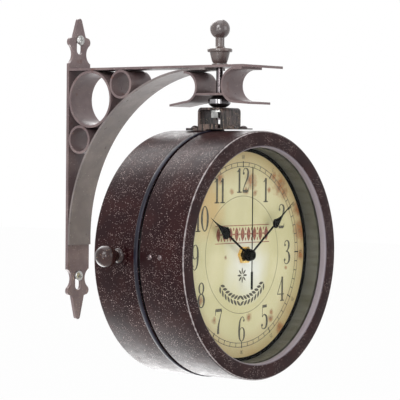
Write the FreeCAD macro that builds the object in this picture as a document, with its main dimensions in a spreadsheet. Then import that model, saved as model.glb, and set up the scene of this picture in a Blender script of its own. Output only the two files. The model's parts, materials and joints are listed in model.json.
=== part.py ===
import FreeCAD, Part
import math
import os
from types import SimpleNamespace

import Sketcher

# A double sided station clock on a wall bracket. All lengths are in millimetres.
# The origin is the middle of the two wall screw slots, on the back of the wall plate.
# +X points out from the wall, +Z is up, and the latch knob is on the -Y side.
# The drum hangs from a rod and swivels on it. Its front half is a door, hinged on the +Y side.

Vector = FreeCAD.Vector
Rotation = FreeCAD.Rotation

# Each driving dimension: its alias in the sheet and its size.
SIZES = [
    # wall plate
    ("slot_spacing", 220.0),          # between the centres of the two screw slots
    ("slot_width", 8.0),
    ("slot_length", 17.5),
    ("plate_width", 29.0),
    ("plate_thickness", 3.0),
    ("top_slot_rise", 17.5),          # from the top shoulder up to the slot's centre
    ("bottom_slot_drop", 10.8),       # from the bottom shoulder down to the slot's centre
    ("lobe_rise", 20.2),              # from a shoulder out to the lobes of the spear
    ("lobe_radius", 4.2),
    ("neck_radius", 10.0),
    ("spear_root", 8.0),              # half width of the spear where it leaves the lobes
    ("spear_tip", 2.9),               # half width near the point
    ("top_spear", 22.0),              # from the lobes to the point
    ("bottom_spear", 27.0),
    # straps of the bracket
    ("arm_step", 4.8),                # from the top shoulder down to the top of the arm
    ("strip_width", 29.0),
    ("arm_thickness", 2.2),
    ("arm_overhang", 58.5),           # from the rod to the arm's free end
    ("droop_length", 22.0),           # how much of the free end droops
    ("arm_droop", 1.6),
    ("brace_thickness", 2.0),
    ("brace_land", 8.0),              # flat ends welded to the arm and the plate
    ("brace_gap", 2.5),               # between the end of the brace and the rod
    ("ring_wall", 2.2),
    ("weld_gap", 0.1),                # between round pieces that a weld line joins
    # scrolls and bridge beside the rod
    ("swivel_reach", 170.5),          # from the wall to the swivel's axis
    ("scroll_drop", 33.4),            # from the top of the arm down to the scrolls' lowest turn
    ("scroll_offset", 28.2),          # from the rod to the middle of each scroll
    ("scroll_thickness", 2.0),
    ("scroll_tail", 17.0),
    ("inner_tail_drop", 2.8),
    ("outer_tail_drop", 1.2),
    ("scroll_lip", 7.5),
    ("bridge_drop", 24.6),            # from the top of the arm down to the top of the bridge
    ("bridge_thickness", 2.0),
    # rod, finial and collar
    ("rod_diameter", 6.0),
    ("hole_clearance", 0.1),
    ("running_clearance", 0.06),
    ("finial_ball", 17.5),            # diameter
    ("finial_height", 40.7),
    ("finial_neck", 7.9),
    ("cup_rim", 22.0),
    ("cup_height", 14.8),
    ("cup_band", 3.2),
    ("cup_waist", 17.6),              # just under the rim
    ("cup_base", 12.0),
    ("foot_height", 1.7),
    ("rod_grip", 11.0),               # how far the rod is screwed into the finial
    ("collar_diameter", 19.4),
    ("collar_height", 10.3),
    ("collar_end", 12.0),
    ("band_height", 3.6),
    ("band_depth", 1.2),
    ("band_rise", 0.3),
    ("swivel_gap", 0.3),
    ("nut_flats", 13.0),
    ("nut_height", 5.0),
    ("washer_diameter", 18.0),
    ("washer_thickness", 1.6),
    ("rod_end", 1.6),                 # how far the rod stands out below its nut
    # yoke and saddle
    ("yoke_height", 18.0),
    ("yoke_width", 27.2),
    ("yoke_depth", 26.4),
    ("yoke_thickness", 2.0),
    ("yoke_corner", 4.0),
    ("spacer_height", 3.6),
    ("spacer_reach", 8.6),            # how far the spacer runs past the rod
    ("saddle_length", 54.0),
    ("saddle_thickness", 2.2),
    ("saddle_relief", 1.2),
    ("saddle_screw_x", 21.0),
    ("saddle_screw_y", 8.0),
    ("dome_diameter", 7.0),
    ("dome_height", 2.4),
    ("dome_shank", 3.0),
    ("dome_grip", 2.0),               # how far a screw reaches inside the shell
    # drum
    ("half_depth", 50.0),
    ("shell_wall", 1.2),
    ("edge_radius", 2.2),
    ("opening_diameter", 187.4),
    ("rim_width", 14.3),              # from the opening out to the wall of the drum
    ("lip_radius", 2.8),
    ("lip_depth", 6.5),
    ("bead_width", 4.2),
    ("bead_height", 0.8),
    ("seam_gap", 2.6),
    ("hoop_sheet", 1.1),
    ("hoop_step", 1.35),              # how far the hoop's front part is set in
    ("hoop_back", 8.0),
    ("hoop_front", 5.5),
    ("seat_clearance", 0.1),
    # glass, dial and movement, the same on both sides
    ("glass_overlap", 5.3),           # how far the glass reaches behind the lip
    ("glass_thickness", 2.0),
    ("ring_length", 13.4),
    ("ring_sheet", 2.4),
    ("ring_inset", 0.8),              # how far the ring stands inside the opening
    ("dial_thickness", 1.0),
    ("clip_width", 10.0),
    ("clip_sheet", 1.0),
    ("clip_leg", 9.0),
    ("clip_toe", 12.0),
    ("movement_side", 56.0),
    ("movement_depth", 16.0),
    ("movement_corner", 4.0),
    ("battery_diameter", 14.2),
    ("battery_length", 50.0),
    ("battery_button", 5.5),
    ("bay_clearance", 0.4),
    ("bush_diameter", 8.0),           # threaded bush of the movement
    ("bush_rise", 4.6),               # how far the bush stands out of the dial
    ("hour_pipe", 5.0),
    ("minute_arbor", 3.0),
    ("second_arbor", 1.0),
    ("dial_nut_flats", 14.0),
    ("dial_nut_height", 3.2),
    ("set_wheel_diameter", 13.0),
    ("set_wheel_offset", 15.0),
    ("set_wheel_height", 2.6),
    ("set_wheel_recess", 1.4),
    # hands
    ("hand_sheet", 0.5),
    ("hub_height", 1.3),
    ("hand_gap", 0.7),
    ("hour_length", 62.0),
    ("hour_spade", 38.0),             # from the arbor to the widest place
    ("hour_spade_width", 11.0),
    ("hour_hub", 11.0),
    ("minute_length", 77.5),
    ("minute_spade", 46.0),
    ("minute_spade_width", 8.4),
    ("minute_hub", 9.6),
    ("stem_width", 1.8),
    ("second_length", 77.0),
    ("second_tail", 30.0),
    ("tail_width", 2.4),
    ("tail_start", 14.0),
    ("needle_width", 0.8),
    ("second_hub", 8.4),
    ("hour_angle", 302.5),
    ("minute_angle", 54.0),
    ("second_angle", 0.0),
    # latch
    ("latch_back", 20.0),             # from the seam to the knob
    ("latch_rise", 1.2),              # knob, rivets and keeper above the drum's middle
    ("knob_diameter", 18.8),
    ("knob_reach", 26.4),             # from the drum to the end of the knob
    ("knob_neck", 8.0),
    ("knob_flange", 13.0),
    ("knob_shaft", 5.0),
    ("escutcheon_diameter", 19.0),
    ("escutcheon_thickness", 1.4),
    ("crank_throw", 6.5),
    ("crank_width", 7.0),
    ("crank_pin", 3.0),
    ("crank_pin_length", 4.6),
    ("crank_sheet", 1.3),
    ("crank_inset", 0.9),
    ("keeper_sheet", 1.2),
    ("keeper_seat", 0.4),
    ("keeper_inset", 4.2),            # from the inside of the shell to the keeper's free arm
    ("keeper_low", 9.0),
    ("keeper_high", 3.0),
    ("keeper_end", 26.8),
    ("keeper_prong", 3.0),
    ("notch_width", 6.0),
    ("notch_depth", 4.6),
    ("rivet_near", 13.7),
    ("rivet_far", 24.7),
    ("rivet_head", 4.6),
    ("rivet_head_height", 1.3),
    ("rivet_shank", 2.4),
    # hinge
    ("hinge_height", 30.0),
    ("hinge_barrel", 6.4),
    ("hinge_pin", 3.0),
    ("knuckle_gap", 0.3),
    ("pin_head", 5.0),
    ("leaf_length", 17.0),
    ("leaf_rise", 2.3),               # outer face of the leaf above the drum
    ("leaf_gap", 0.5),
    ("hinge_rivet_x", 11.5),
    ("hinge_rivet_z", 9.0),
]

FRONT = "front"
REAR = "rear"
CLIP_ANGLES = (45, 135, 225, 315)
DEGREES_IN_TURN = 360
RIGHT_ANGLE = 90
# How many straight bands stand in for the arc of a turned round.
EDGE_BAND_COUNT = 2
LIP_BAND_COUNT = 3
BALL_BAND_COUNT = 5


class Size:
    """A number from the sheet, or worked out from such numbers, kept with the same sum as a formula."""

    def __init__(self, number, formula):
        self.number = float(number)
        self.formula = formula

    def __add__(self, other):
        other = as_size(other)
        return Size(self.number + other.number, f"({self.formula} + {other.formula})")

    def __sub__(self, other):
        other = as_size(other)
        return Size(self.number - other.number, f"({self.formula} - {other.formula})")

    def __mul__(self, other):
        other = as_size(other)
        return Size(self.number * other.number, f"({self.formula} * {other.formula})")

    def __truediv__(self, other):
        other = as_size(other)
        return Size(self.number / other.number, f"({self.formula} / {other.formula})")

    def __radd__(self, other):
        return as_size(other) + self

    def __rsub__(self, other):
        return as_size(other) - self

    def __rmul__(self, other):
        return as_size(other) * self

    def __neg__(self):
        return 0 - self

    def root(self):
        return Size(math.sqrt(self.number), f"sqrt({self.formula})")


def as_size(value):
    """A plain number as a Size, so that sums can mix the two."""
    if isinstance(value, Size):
        return value
    return Size(value, f"({float(value)!r})")


# ---------------------------------------------------------------- document and sheet

os.makedirs("parts", exist_ok=True)
doc = FreeCAD.newDocument("station_clock")
sheet = doc.addObject("Spreadsheet::Sheet", "Sizes")
for row, (alias, size) in enumerate(SIZES, start=1):
    sheet.set(f"A{row}", alias)
    sheet.set(f"B{row}", str(size))
    sheet.setAlias(f"B{row}", alias)
doc.recompute()
d = SimpleNamespace(**{alias: Size(sheet.get(alias), f"Sizes.{alias}") for alias, _ in SIZES})

nodes = []


def node(item, name):
    """Names a finished sub-part and puts it on the list to be written."""
    item.Label = name
    nodes.append(item)
    return item


# ---------------------------------------------------------------- binding and placing

def bind(item, path, size):
    """Sets one property to a size and ties it to the sheet."""
    size = as_size(size)
    if "." not in path:
        setattr(item, path, size.number)
    item.setExpression(path, size.formula)


def place(item, x=0, y=0, z=0, rotation=None):
    """Puts an object at a place in the part's frame and ties the place to the sheet."""
    spot = [as_size(value) for value in (x, y, z)]
    base = Vector(*[value.number for value in spot])
    item.Placement = FreeCAD.Placement(base, rotation or Rotation())
    for axis, value in zip("xyz", spot):
        item.setExpression(f"Placement.Base.{axis}", value.formula)
    return item


def facing(side):
    """Turns local X right, Y up and Z outward, as seen by someone looking at that side's dial."""
    out = 1 if side == FRONT else -1
    return Rotation(Vector(0, out, 0), Vector(0, 0, 1), Vector(out, 0, 0), "ZXY")


def turned_on_dial(side, angle):
    """The same, with the piece turned clockwise round the dial by an angle in degrees."""
    return facing(side).multiply(Rotation(Vector(0, 0, 1), -angle))


# Local Z along the part's -Y, local Y up: for round pieces on the latch side.
TO_LATCH = Rotation(Vector(1, 0, 0), Vector(0, 0, 1), Vector(0, -1, 0), "ZXY")
# Local Z along the part's +Y, local Y up: for round pieces on the hinge side.
TO_HINGE = Rotation(Vector(-1, 0, 0), Vector(0, 0, 1), Vector(0, 1, 0), "ZXY")


# ---------------------------------------------------------------- sketches

def new_body(name):
    body = doc.addObject("PartDesign::Body", name)
    return body


def new_sketch(body, role, offset=0):
    """An empty sketch on one of the body's own planes, moved along that plane's normal."""
    sketch = body.newObject("Sketcher::SketchObject", "Sketch")
    plane = next(item for item in body.Origin.OriginFeatures if item.Role == role)
    sketch.AttachmentSupport = (plane, [""])
    sketch.MapMode = "FlatFace"
    offset = as_size(offset)
    sketch.AttachmentOffset = FreeCAD.Placement(Vector(0, 0, offset.number), Rotation())
    sketch.setExpression("AttachmentOffset.Base.z", offset.formula)
    return sketch


def constrain(sketch, kind, *terms):
    """Adds one dimension to a sketch; its last term is a size, tied to the sheet."""
    size = as_size(terms[-1])
    number = sketch.addConstraint(Sketcher.Constraint(kind, *terms[:-1], size.number))
    sketch.setExpression(f"Constraints[{number}]", size.formula)


def draw_arc(sketch, start, end, radius, bulge):
    """An arc of under a half circle that bulges to the left or right of the way it is drawn.

    Returns the numbers of its start and end points, because arcs always run anticlockwise.
    """
    along = end - start
    chord = along.Length
    rise = math.sqrt(max(radius * radius - chord * chord / 4, 0))
    left = Vector(-along.y, along.x, 0) / chord
    centre = (start + end) / 2 + left * (rise if bulge == "right" else -rise)
    first, last = (start, end) if bulge == "right" else (end, start)
    angle_first = math.atan2(first.y - centre.y, first.x - centre.x)
    angle_last = math.atan2(last.y - centre.y, last.x - centre.x)
    if angle_last < angle_first:
        angle_last += 2 * math.pi
    circle = Part.Circle(centre, Vector(0, 0, 1), radius)
    sketch.addGeometry(Part.ArcOfCircle(circle, angle_first, angle_last))
    return (1, 2) if bulge == "right" else (2, 1)


def draw_outline(sketch, points, edges=None):
    """A closed outline through points, each a pair of sizes.

    edges holds, for the edge that leaves each point, None for a straight one
    or (radius, "left" or "right") for an arc and the side it bulges to.
    """
    edges = edges or [None] * len(points)
    points = [(as_size(x), as_size(y)) for x, y in points]
    spots = [Vector(x.number, y.number, 0) for x, y in points]
    base = sketch.GeometryCount
    ends = []
    for index, edge in enumerate(edges):
        start = spots[index]
        end = spots[(index + 1) % len(spots)]
        if edge is None:
            sketch.addGeometry(Part.LineSegment(start, end))
            ends.append((1, 2))
        else:
            ends.append(draw_arc(sketch, start, end, as_size(edge[0]).number, edge[1]))
    for index in range(len(points)):
        after = (index + 1) % len(points)
        sketch.addConstraint(Sketcher.Constraint(
            "Coincident", base + index, ends[index][1], base + after, ends[after][0]))
    for index, (x, y) in enumerate(points):
        constrain(sketch, "DistanceX", -1, 1, base + index, ends[index][0], x)
        constrain(sketch, "DistanceY", -1, 1, base + index, ends[index][0], y)
        if edges[index] is not None:
            constrain(sketch, "Radius", base + index, edges[index][0])


def draw_circle(sketch, x, y, diameter):
    x, y, diameter = as_size(x), as_size(y), as_size(diameter)
    circle = Part.Circle(Vector(x.number, y.number, 0), Vector(0, 0, 1), diameter.number / 2)
    number = sketch.addGeometry(circle)
    constrain(sketch, "DistanceX", -1, 1, number, 3, x)
    constrain(sketch, "DistanceY", -1, 1, number, 3, y)
    constrain(sketch, "Diameter", number, diameter)


def bend(x, y, radius, start, end, bands):
    """Points round a bend about (x, y), from one angle to another, that stand in for an arc."""
    points = []
    for step in range(bands + 1):
        angle = math.radians(start + (end - start) * step / bands)
        points.append((x + radius * math.cos(angle), y + radius * math.sin(angle)))
    return points


def slot(x, y, width, length):
    """Points and edges of an upright slot with round ends."""
    half = width / 2
    straight = length / 2 - half
    points = [
        (x + half, y - straight), (x + half, y + straight), (x, y + length / 2),
        (x - half, y + straight), (x - half, y - straight), (x, y - length / 2),
    ]
    turn = (half, "right")
    return points, [None, turn, turn, None, turn, turn]


def mirrored_half(points, edges):
    """Closes a half outline, drawn from one point of the Y axis to another, with its mirror image."""
    other = [(-x, y) for x, y in reversed(points[1:-1])]
    return points + other, edges + list(reversed(edges))


# ---------------------------------------------------------------- features

def pad(body, sketch, length, both_ways=False, backwards=False):
    feature = body.newObject("PartDesign::Pad", "Pad")
    feature.Profile = sketch
    bind(feature, "Length", length)
    feature.SideType = "Symmetric" if both_ways else "One side"
    feature.Reversed = backwards
    return feature


def cut_through(body, sketch, along_normal=True):
    """Cuts a sketch through everything on the side its plane faces, or on the other side."""
    doc.recompute()
    before = body.Shape.Volume
    feature = body.newObject("PartDesign::Pocket", "Pocket")
    feature.Profile = sketch
    feature.Type = "ThroughAll"
    feature.Reversed = along_normal
    doc.recompute()
    if not body.Shape.Volume < before:
        raise ValueError(f"a pocket of {body.Label} cuts nothing")
    return feature


def plate(name, role, points, edges, thickness, both_ways=True, offset=0):
    """A flat piece: one outline on a plane, made thick."""
    body = new_body(name)
    sketch = new_sketch(body, role, offset)
    draw_outline(sketch, points, edges)
    pad(body, sketch, thickness, both_ways)
    return body


def turned(name, points, edges=None):
    """A round piece: an outline of (radius, height) points turned about local Z."""
    body = new_body(name)
    sketch = new_sketch(body, "XZ_Plane")
    draw_outline(sketch, points, edges)
    feature = body.newObject("PartDesign::Revolution", "Revolution")
    feature.Profile = sketch
    feature.ReferenceAxis = (sketch, ["V_Axis"])
    feature.Angle = DEGREES_IN_TURN
    return body


def tube(name, outer, inner, length, role="XY_Plane", both_ways=False, offset=0):
    """A ring, disc with a hole or pipe: two circles made long."""
    body = new_body(name)
    sketch = new_sketch(body, role, offset)
    draw_circle(sketch, 0, 0, outer)
    draw_circle(sketch, 0, 0, inner)
    pad(body, sketch, length, both_ways)
    return body


def disc(name, diameter, thickness, offset=0):
    body = new_body(name)
    sketch = new_sketch(body, "XY_Plane", offset)
    draw_circle(sketch, 0, 0, diameter)
    pad(body, sketch, thickness)
    return body


def hex_nut(name, flats, height, bore):
    """A six sided nut on local Z."""
    body = new_body(name)
    sketch = new_sketch(body, "XY_Plane")
    corner = flats / as_size(3).root()
    points = [
        (corner, 0), (corner / 2, flats / 2), (-corner / 2, flats / 2),
        (-corner, 0), (-corner / 2, -flats / 2), (corner / 2, -flats / 2),
    ]
    draw_outline(sketch, points)
    draw_circle(sketch, 0, 0, bore)
    pad(body, sketch, height)
    return body


def headed(name, head, rise, shank, grip):
    """A round headed fastener on local Z: its head above z = 0 and its shank below."""
    points = [
        (0, -grip), (shank / 2, -grip), (shank / 2, 0), (head / 2, 0), (head / 2, rise), (0, rise),
    ]
    return turned(name, points)


def cylinder(radius, height):
    """A plain cylinder on local Z, used to cut other pieces."""
    item = doc.addObject("Part::Cylinder", "Cylinder")
    bind(item, "Radius", radius)
    bind(item, "Height", height)
    return item


def block(length, width, height):
    item = doc.addObject("Part::Box", "Block")
    bind(item, "Length", length)
    bind(item, "Width", width)
    bind(item, "Height", height)
    return item


def united(items):
    fuse = doc.addObject("Part::MultiFuse", "Union")
    fuse.Shapes = items
    return fuse


def without(base, tools):
    """A piece less the tools that cut it."""
    cut = doc.addObject("Part::Cut", "Cut")
    cut.Base = base
    cut.Tool = tools[0] if len(tools) == 1 else united(tools)
    return cut


def group(items):
    """Identical pieces that share one node and stay separate solids."""
    compound = doc.addObject("Part::Compound", "Group")
    compound.Links = items
    return compound


# ---------------------------------------------------------------- shared places

top_shoulder = d.slot_spacing / 2 - d.top_slot_rise
bottom_shoulder = d.bottom_slot_drop - d.slot_spacing / 2
arm_top = top_shoulder - d.arm_step
arm_under = arm_top - d.arm_thickness
axis_x = d.swivel_reach
bridge_top = arm_top - d.bridge_drop
collar_top = bridge_top - d.bridge_thickness
collar_bottom = collar_top - d.collar_height
yoke_top = collar_bottom - d.swivel_gap
saddle_top = yoke_top - d.yoke_height
drum_radius = d.opening_diameter / 2 + d.rim_width
drum_z = saddle_top - d.saddle_thickness - drum_radius
shell_inside = drum_radius - d.shell_wall
rod_hole = d.rod_diameter + 2 * d.hole_clearance
latch_z = drum_z + d.latch_rise

# Heights above the seam along each dial's own axis, from the glass in to the movement.
glass_outer = d.half_depth - d.lip_depth
glass_inner = glass_outer - d.glass_thickness
dial_face = glass_inner - d.ring_length
dial_back = dial_face - d.dial_thickness
case_face = dial_back
case_back = case_face - d.movement_depth


# ---------------------------------------------------------------- bracket

def spear(shoulder, way, length):
    """Half of one end of the wall plate, from its point to its shoulder: points and edges.

    way is 1 for the top end and -1 for the bottom end.
    """
    half = d.plate_width / 2
    lobe = shoulder + way * d.lobe_rise
    tip = lobe + way * length
    points = [
        (as_size(0), tip),
        (d.spear_tip, tip - way * 0.8 * d.spear_tip),
        (d.spear_root, lobe + way * 1.15 * d.lobe_radius),
        (half - d.lobe_radius, lobe + way * d.lobe_radius),
        (half, lobe),
        (half - 0.3 * d.lobe_radius, lobe - way * 0.714 * d.lobe_radius),
        (half, shoulder),
    ]
    rounded = (d.lobe_radius, "left")
    edges = [(d.spear_tip * 1.05, "left"), None, None, rounded, rounded, (d.neck_radius, "right")]
    return points, edges


def wall_plate():
    top_points, top_edges = spear(top_shoulder, 1, d.top_spear)
    low_points, low_edges = spear(bottom_shoulder, -1, d.bottom_spear)
    half_points = top_points + list(reversed(low_points))
    half_edges = top_edges + [None] + list(reversed(low_edges))
    points, edges = mirrored_half(half_points, half_edges)
    body = plate("wall_plate", "YZ_Plane", points, edges, d.plate_thickness, both_ways=False)
    holes = new_sketch(body, "YZ_Plane")
    for way in (1, -1):
        draw_outline(holes, *slot(as_size(0), way * d.slot_spacing / 2, d.slot_width, d.slot_length))
    cut_through(body, holes)
    return node(body, "wall_plate")


def top_arm():
    """The flat arm, with its free end bent down a little."""
    end = axis_x + d.arm_overhang
    fold = end - d.droop_length
    points = [
        (d.plate_thickness, arm_top), (fold, arm_top), (end, arm_top - d.arm_droop),
        (end, arm_under - d.arm_droop), (fold, arm_under), (d.plate_thickness, arm_under),
    ]
    body = plate("top_arm", "XZ_Plane", points, None, d.strip_width)
    hole = new_sketch(body, "XY_Plane")
    draw_circle(hole, axis_x, 0, rod_hole)
    cut_through(body, hole)
    return node(body, "top_arm")


# The brace is a quarter ring that touches the arm and the plate, and stops just short of the rod.
brace_x = axis_x - d.rod_diameter / 2 - d.brace_gap - d.brace_land
brace_radius = brace_x - d.plate_thickness
brace_z = arm_under - brace_radius
brace_inside = brace_radius - d.brace_thickness


def brace():
    low = brace_z - d.brace_land
    right = brace_x + d.brace_land
    points = [
        (right, arm_under), (brace_x, arm_under), (d.plate_thickness, brace_z),
        (d.plate_thickness, low), (d.plate_thickness + d.brace_thickness, low),
        (d.plate_thickness + d.brace_thickness, brace_z), (brace_x, arm_under - d.brace_thickness),
        (right, arm_under - d.brace_thickness),
    ]
    edges = [None, (brace_radius, "right"), None, None, None, (brace_inside, "left"), None, None]
    return node(plate("brace", "XZ_Plane", points, edges, d.strip_width), "brace")


def corner_rings():
    """Three rings that touch each other, the brace, and the plate or the arm."""
    diagonal = as_size(2).root()
    large = brace_radius * (diagonal - 1) / (diagonal + 1)
    small_root = (brace_radius.root() - large.root()) / 2
    small = small_root * small_root
    away = large + 2 * (large * small).root()
    spots = [
        ("corner_ring_large", large, large, large),
        ("corner_ring_upper", small, away, small),
        ("corner_ring_lower", small, small, away),
    ]
    for name, radius, right, down in spots:
        outer = 2 * (radius - d.weld_gap)
        ring = tube(name, outer, outer - 2 * d.ring_wall, d.strip_width, "XZ_Plane", both_ways=True)
        place(ring, d.plate_thickness + right, 0, arm_under - down)
        node(ring, name)


scroll_bottom = arm_top - d.scroll_drop
outer_scroll_radius = (d.scroll_drop - d.arm_thickness) / 2
outer_scroll_x = axis_x + d.scroll_offset
inner_scroll_x = axis_x - d.scroll_offset


def inner_scroll_size():
    """Radius of the scroll that touches the inside of the brace and reaches the same depth."""
    room = brace_inside - d.weld_gap
    drop = scroll_bottom - brace_z
    across = brace_x - inner_scroll_x
    return (room * room - across * across - drop * drop) / (2 * (drop + room))


inner_scroll_radius = inner_scroll_size()


def scroll(name, way, middle, radius, tail_drop, lip):
    """A strip bent to a C with a straight tail below and a lip above. way is 1 away from the wall."""
    centre = scroll_bottom + radius
    inside = radius - d.scroll_thickness
    tail = middle + way * d.scroll_tail
    end = scroll_bottom - tail_drop
    points = [
        (middle + way * lip, centre + radius), (middle, centre + radius),
        (middle - way * radius, centre), (middle, scroll_bottom), (tail, end),
        (tail, end + d.scroll_thickness), (middle, scroll_bottom + d.scroll_thickness),
        (middle - way * inside, centre), (middle, centre + inside),
        (middle + way * lip, centre + inside),
    ]
    out = "right" if way == 1 else "left"
    back = "left" if way == 1 else "right"
    outer = (radius, out)
    inner = (inside, back)
    edges = [None, outer, outer, None, None, None, inner, inner, None, None]
    return node(plate(name, "XZ_Plane", points, edges, d.strip_width), name)


def scroll_bridge():
    """The plate between the scrolls that the rod passes through; its ends follow the scrolls."""
    top = bridge_top
    under = bridge_top - d.bridge_thickness

    def reach(radius, height):
        drop = scroll_bottom + radius - height
        grown = radius + d.weld_gap
        return (grown * grown - drop * drop).root()

    left = inner_scroll_x
    right = outer_scroll_x
    points = [
        (left + reach(inner_scroll_radius, under), under),
        (right - reach(outer_scroll_radius, under), under),
        (right - reach(outer_scroll_radius, top), top),
        (left + reach(inner_scroll_radius, top), top),
    ]
    edges = [None, (outer_scroll_radius + d.weld_gap, "left"), None, (inner_scroll_radius + d.weld_gap, "left")]
    body = plate("scroll_bridge", "XZ_Plane", points, edges, d.strip_width)
    hole = new_sketch(body, "XY_Plane")
    draw_circle(hole, axis_x, 0, rod_hole)
    cut_through(body, hole)
    return node(body, "scroll_bridge")


washer_top = yoke_top - d.yoke_thickness - d.swivel_gap
nut_top = washer_top - d.washer_thickness
rod_bottom = nut_top - d.nut_height - d.rod_end


def hanger_rod():
    rod = disc("hanger_rod", d.rod_diameter, arm_top + d.rod_grip - rod_bottom)
    return node(place(rod, axis_x, 0, rod_bottom), "hanger_rod")


def ball_section(radius, centre, neck):
    """Points round a ball, from where it leaves its neck to its top."""
    start = math.degrees(math.asin(neck.number / radius.number)) - RIGHT_ANGLE
    return bend(as_size(0), centre, radius, start, RIGHT_ANGLE, BALL_BAND_COUNT)


def finial():
    """A turned ball on a cup, with a blind hole for the rod."""
    ball = d.finial_ball / 2
    neck = d.finial_neck / 2
    centre = d.finial_height - ball
    rim = d.cup_rim / 2
    band_foot = d.cup_height - d.cup_band
    hole = rod_hole / 2
    depth = d.rod_grip + d.seat_clearance
    points = [
        (hole, 0), (d.cup_base / 2 + 1, 0), (d.cup_base / 2 + 1, d.foot_height),
        (d.cup_base / 2, d.foot_height), (d.cup_waist / 2, band_foot), (rim, band_foot),
        (rim, d.cup_height), (neck, d.cup_height),
    ]
    points += ball_section(ball, centre, neck) + [(0, depth), (hole, depth)]
    return node(place(turned("finial", points), axis_x, 0, arm_top), "finial")


def swivel_collar():
    """The black ball shaped collar between bridge and yoke, and the bright band in its groove."""
    hole = rod_hole / 2
    wide = d.collar_diameter / 2
    end = d.collar_end / 2
    middle = d.collar_height / 2
    low = middle - d.band_height / 2
    high = middle + d.band_height / 2
    groove = wide - d.band_depth
    points = [
        (hole, 0), (end, 0), (wide, low), (groove, low), (groove, high), (wide, high),
        (end, d.collar_height), (hole, d.collar_height),
    ]
    node(place(turned("swivel_collar", points), axis_x, 0, collar_bottom), "swivel_collar")
    slack = d.running_clearance
    outer = 2 * (wide + d.band_rise)
    band = tube("collar_band", outer, 2 * (groove + slack), d.band_height - 2 * slack)
    node(place(band, axis_x, 0, collar_bottom + low + slack), "collar_band")


def rod_fasteners():
    washer = tube("rod_washer", d.washer_diameter, rod_hole, d.washer_thickness)
    node(place(washer, axis_x, 0, washer_top - d.washer_thickness), "rod_washer")
    nut = hex_nut("rod_nut", d.nut_flats, d.nut_height, rod_hole)
    node(place(nut, axis_x, 0, nut_top - d.nut_height), "rod_nut")


# ---------------------------------------------------------------- yoke and saddle

def yoke():
    """An upturned U of sheet whose top turns on the rod and whose legs stand on the saddle."""
    half = d.yoke_width / 2
    inside = half - d.yoke_thickness
    corner = d.yoke_corner
    shoulder = d.yoke_height - corner
    under = d.yoke_height - d.yoke_thickness
    points = [
        (half, 0), (half, shoulder), (half - corner, d.yoke_height),
        (corner - half, d.yoke_height), (-half, shoulder), (-half, 0), (-inside, 0),
        (-inside, shoulder), (corner - half, under), (half - corner, under), (inside, shoulder),
        (inside, 0),
    ]
    outer = (corner, "right")
    inner = (corner - d.yoke_thickness, "left")
    edges = [None, outer, None, outer, None, None, None, inner, None, inner, None, None]
    body = plate("yoke", "XZ_Plane", points, edges, d.yoke_depth)
    hole = new_sketch(body, "XY_Plane")
    draw_circle(hole, 0, 0, d.rod_diameter + 2 * d.running_clearance)
    cut_through(body, hole)
    return node(place(body, axis_x, 0, saddle_top), "yoke")


def yoke_spacer():
    """The block on the saddle, inside the yoke's rear leg."""
    left = d.yoke_thickness - d.yoke_width / 2
    points = [
        (left, 0), (d.spacer_reach, 0), (d.spacer_reach, d.spacer_height - 1),
        (d.spacer_reach - 1, d.spacer_height), (left, d.spacer_height),
    ]
    body = plate("yoke_spacer", "XZ_Plane", points, None, d.yoke_depth)
    return node(place(body, axis_x, 0, saddle_top), "yoke_spacer")


def saddle_plate():
    """The plate on top of the drum, cut back underneath so that the door can swing clear of it."""
    half = d.saddle_length / 2
    step = -(d.bead_width + d.leaf_gap)
    relief = d.saddle_relief - d.saddle_thickness
    points = [
        (-half, -d.saddle_thickness), (step, -d.saddle_thickness), (step, relief), (half, relief),
        (half, 0), (-half, 0),
    ]
    body = plate("saddle_plate", "XZ_Plane", points, None, d.yoke_depth)
    holes = new_sketch(body, "XY_Plane", -d.saddle_thickness)
    for x in (-d.saddle_screw_x, d.saddle_screw_x):
        for y in (-d.saddle_screw_y, d.saddle_screw_y):
            draw_circle(holes, x, y, d.dome_shank + 2 * d.hole_clearance)
    cut_through(body, holes)
    return node(place(body, axis_x, 0, saddle_top), "saddle_plate")


def yoke_screws():
    """Four domed screws: the rear pair holds the saddle to the rear shell, the front pair stops short."""
    short = d.saddle_thickness - d.saddle_relief
    long = d.saddle_thickness + d.shell_wall + d.dome_grip
    screws = []
    for way, grip in ((-1, long), (1, short)):
        for y in (-d.saddle_screw_y, d.saddle_screw_y):
            screw = headed("screw", d.dome_diameter, d.dome_height, d.dome_shank, grip)
            screws.append(place(screw, axis_x + way * d.saddle_screw_x, y, saddle_top))
    return node(group(screws), "yoke_screws")


# ---------------------------------------------------------------- drum

def shell_section(seam, with_bead):
    """Section of a half drum as (radius, height above the seam): wall, dial-side face and inner lip."""
    wall = d.shell_wall
    top = d.half_depth
    edge = d.edge_radius
    nose = d.lip_radius
    mouth = d.opening_diameter / 2
    lip_end = top - d.lip_depth
    points = [(drum_radius, seam)]
    if with_bead:
        crown = drum_radius + d.bead_height
        points += [
            (crown, seam + d.bead_width * 0.3), (crown, seam + d.bead_width * 0.7),
            (drum_radius, seam + d.bead_width),
        ]
    points += bend(drum_radius - edge, top - edge, edge, 0, RIGHT_ANGLE, EDGE_BAND_COUNT)
    points += bend(mouth + nose, top - nose, nose, RIGHT_ANGLE, 2 * RIGHT_ANGLE, LIP_BAND_COUNT)
    points += [
        (mouth, lip_end), (mouth + wall, lip_end), (mouth + wall, top - nose),
        (mouth + nose, top - wall), (shell_inside, top - wall), (shell_inside, seam),
    ]
    return points


def drill(body, role, spots, diameter, along_normal):
    """Round holes through one wall of a body."""
    holes = new_sketch(body, role)
    for x, y in spots:
        draw_circle(holes, x, y, diameter)
    cut_through(body, holes, along_normal)


def hinge_rivet_spots():
    """Rivet places on a leaf: distance from the seam's middle and height."""
    return [(d.hinge_rivet_x, way * d.hinge_rivet_z) for way in (-1, 1)]


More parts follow.
